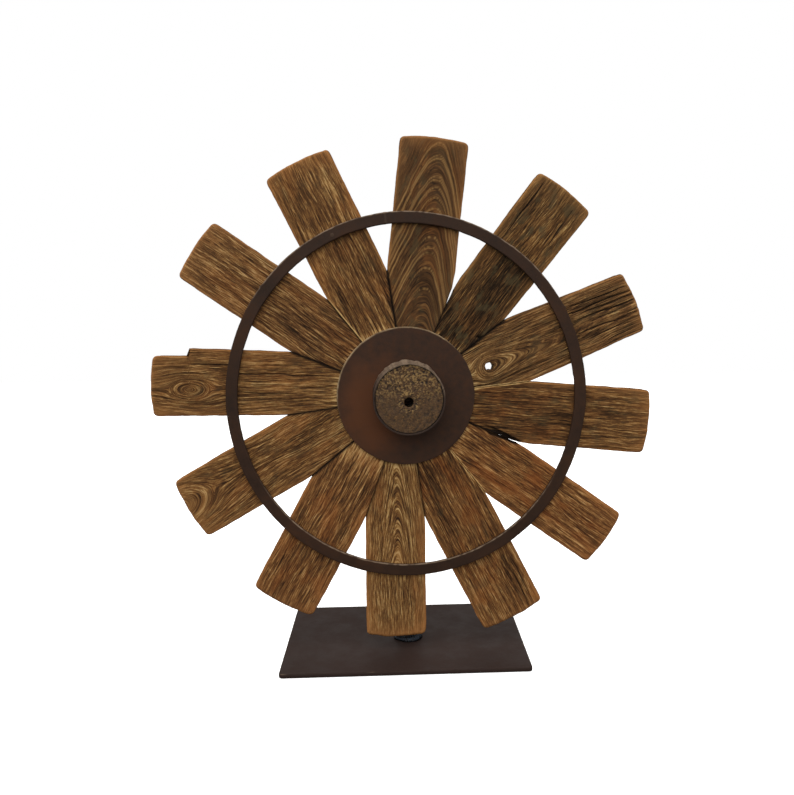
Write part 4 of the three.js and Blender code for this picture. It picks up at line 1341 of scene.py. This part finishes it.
def make_cap():
    """A rubber plug: a ribbed spigot in the post's top and a soft-edged brim above it."""
    low, high = span("post_cap")
    foot, brim = low[2], high[2] - 3
    radius = (high[0] - low[0]) / 2
    spigot = radius - 2.9
    radial, height = np.array([
        (0.5, foot), (spigot - 0.5, foot), (spigot, foot + 0.6), (spigot - 0.3, foot + 2),
        (spigot, foot + 3), (spigot - 0.3, foot + 5), (spigot, foot + 6), (spigot, brim),
        (radius - 0.3, brim), (radius, brim + 0.3), (radius, brim + 1.2), (radius - 0.5, brim + 2.1),
        (radius - 1.6, brim + 2.7), (radius - 3.5, brim + 3), (radius * 0.4, brim + 3), (0.5, brim + 3),
    ]).T[:, :, None]
    points = spun_upright(radial, height, angles(72), (low + high) / 2)
    make_rod("post_cap", points, RUBBER, "stand", "cap_rubber", 50)


# ------------------------------------------------------------------ putting it together

for plank_index in range(len(LOOKS)):
    make_plank(plank_index)
    make_ring_screw(f"ring_screw_{plank_index + 1:02d}")
    make_disc_screw(f"disc_screw_{plank_index + 1:02d}")
make_ring()
disc_bore = SLEEVE_RADIUS - 0.2
make_plate("hub_front_disc", SLEEVE_CENTRE, disc_bore, DISC, "rusted_steel", 0.5, 22, 101, 0.7, 360, 0.8)
make_plate("hub_rear_disc", SLEEVE_CENTRE, disc_bore, RUSTED, "rusted_steel", 0.5, 22, 111, 0.5, 360, 0.1)
for web, seed in (("rear_bearing_web", 121), ("front_bearing_web", 131)):
    make_plate(web, (0, 0), 9.3, PLAIN, "plain_steel", 0.3, 14, seed, grow=0.4)
make_sleeve()
make_plug()
make_bush("rear_bush", True)
make_bush("front_bush", False)
make_bolt()
make_washer()
make_nut("axle_jam_nut")
make_nut("axle_nut")
make_base()
make_post()
make_bead()
make_cap()

# ------------------------------------------------------------------ floor, light and camera


def floor_material():
    """Plain and almost white."""
    g = Graph("floor")
    soft = g.noise(g.own_place(), 0.01, 2.0, 0.5)
    color = g.mix(g.times(soft, 0.02), (0.86, 0.86, 0.86), (0.84, 0.84, 0.85))
    g.set(Base_Color=color, Roughness=0.9, Specular_IOR_Level=0.0)
    g.set(Emission_Color=(1, 1, 1, 1), Emission_Strength=0.75)
    return g.material


floor_mesh = bpy.data.meshes.new("floor")
floor_mesh.from_pydata([(-6, -6, 0), (6, -6, 0), (6, 6, 0), (-6, 6, 0)], [], [(0, 1, 2, 3)])
floor = bpy.data.objects.new("floor", floor_mesh)
floor.location.z = -0.0005
floor_mesh.materials.append(floor_material())
floor.visible_diffuse = False
floor.visible_glossy = False
bpy.context.scene.collection.objects.link(floor)


def make_world():
    """White behind the object; on the object, soft grey light that is strongest from above."""
    made = bpy.data.worlds.new("studio")
    bpy.context.scene.world = made
    made.use_nodes = True
    tree = made.node_tree
    tree.nodes.clear()

    def add(kind, **settings):
        node = tree.nodes.new("ShaderNode" + kind)
        for key, value in settings.items():
            setattr(node, key, value)
        return node

    place = add("TexCoord")
    parts = add("SeparateXYZ")
    tree.links.new(place.outputs["Generated"], parts.inputs[0])
    rise = add("MapRange", interpolation_type="SMOOTHSTEP")
    for name, value in (("From Min", -0.2), ("From Max", 0.9), ("To Min", 0.24), ("To Max", 1.1)):
        rise.inputs[name].default_value = value
    tree.links.new(parts.outputs[2], rise.inputs["Value"])
    light = add("Background")
    light.inputs["Color"].default_value = (1.0, 0.985, 0.96, 1)
    tree.links.new(rise.outputs[0], light.inputs["Strength"])
    white = add("Background")
    white.inputs["Color"].default_value = (1, 1, 1, 1)
    path = add("LightPath")
    choose = add("MixShader")
    tree.links.new(path.outputs["Is Camera Ray"], choose.inputs[0])
    tree.links.new(light.outputs[0], choose.inputs[1])
    tree.links.new(white.outputs[0], choose.inputs[2])
    out = add("OutputWorld")
    tree.links.new(choose.outputs[0], out.inputs[0])


LIGHTS_AIM = Vector((0, 0, 0.33))


def area_light(name, place, size, power, color):
    data = bpy.data.lights.new(name, "AREA")
    data.shape = "SQUARE"
    data.size = size
    data.energy = power
    data.color = color
    made = bpy.data.objects.new(name, data)
    made.location = place
    made.rotation_euler = (LIGHTS_AIM - Vector(place)).to_track_quat("-Z", "Y").to_euler()
    bpy.context.scene.collection.objects.link(made)


make_world()
area_light("key", (-0.7, -1.2, 2.0), 3.2, 46, (1.0, 0.97, 0.92))
area_light("fill", (1.6, -1.6, 1.0), 2.0, 5, (0.97, 0.98, 1.0))
area_light("behind", (0.4, 1.8, 1.4), 1.4, 3, (1.0, 0.93, 0.88))

CAMERA_PLACE = (-0.0298, -0.909, 0.397)
CAMERA_YAW, CAMERA_PITCH, CAMERA_ROLL = math.radians(1.5), math.radians(4.85), math.radians(-0.725)
SENSOR_WIDTH = 36
LENS = 32.191436


def make_camera(yaw, pitch, roll):
    """A camera in front of the object that looks a little down on it."""
    data = bpy.data.cameras.new("camera")
    data.sensor_fit = "HORIZONTAL"
    data.sensor_width = SENSOR_WIDTH
    data.lens = LENS
    camera = bpy.data.objects.new("camera", data)
    look_way = Vector((math.sin(yaw) * math.cos(pitch), math.cos(yaw) * math.cos(pitch), -math.sin(pitch)))
    level_right = Vector((math.cos(yaw), -math.sin(yaw), 0))
    level_up = level_right.cross(look_way)
    right_way = level_right * math.cos(roll) + level_up * math.sin(roll)
    up_way = level_up * math.cos(roll) - level_right * math.sin(roll)
    turned_way = Matrix((right_way, up_way, -look_way)).transposed()
    camera.matrix_world = Matrix.Translation(CAMERA_PLACE) @ turned_way.to_4x4()
    bpy.context.scene.collection.objects.link(camera)
    bpy.context.scene.camera = camera


make_camera(CAMERA_YAW, CAMERA_PITCH, CAMERA_ROLL)
bpy.context.scene.view_settings.view_transform = "Standard"
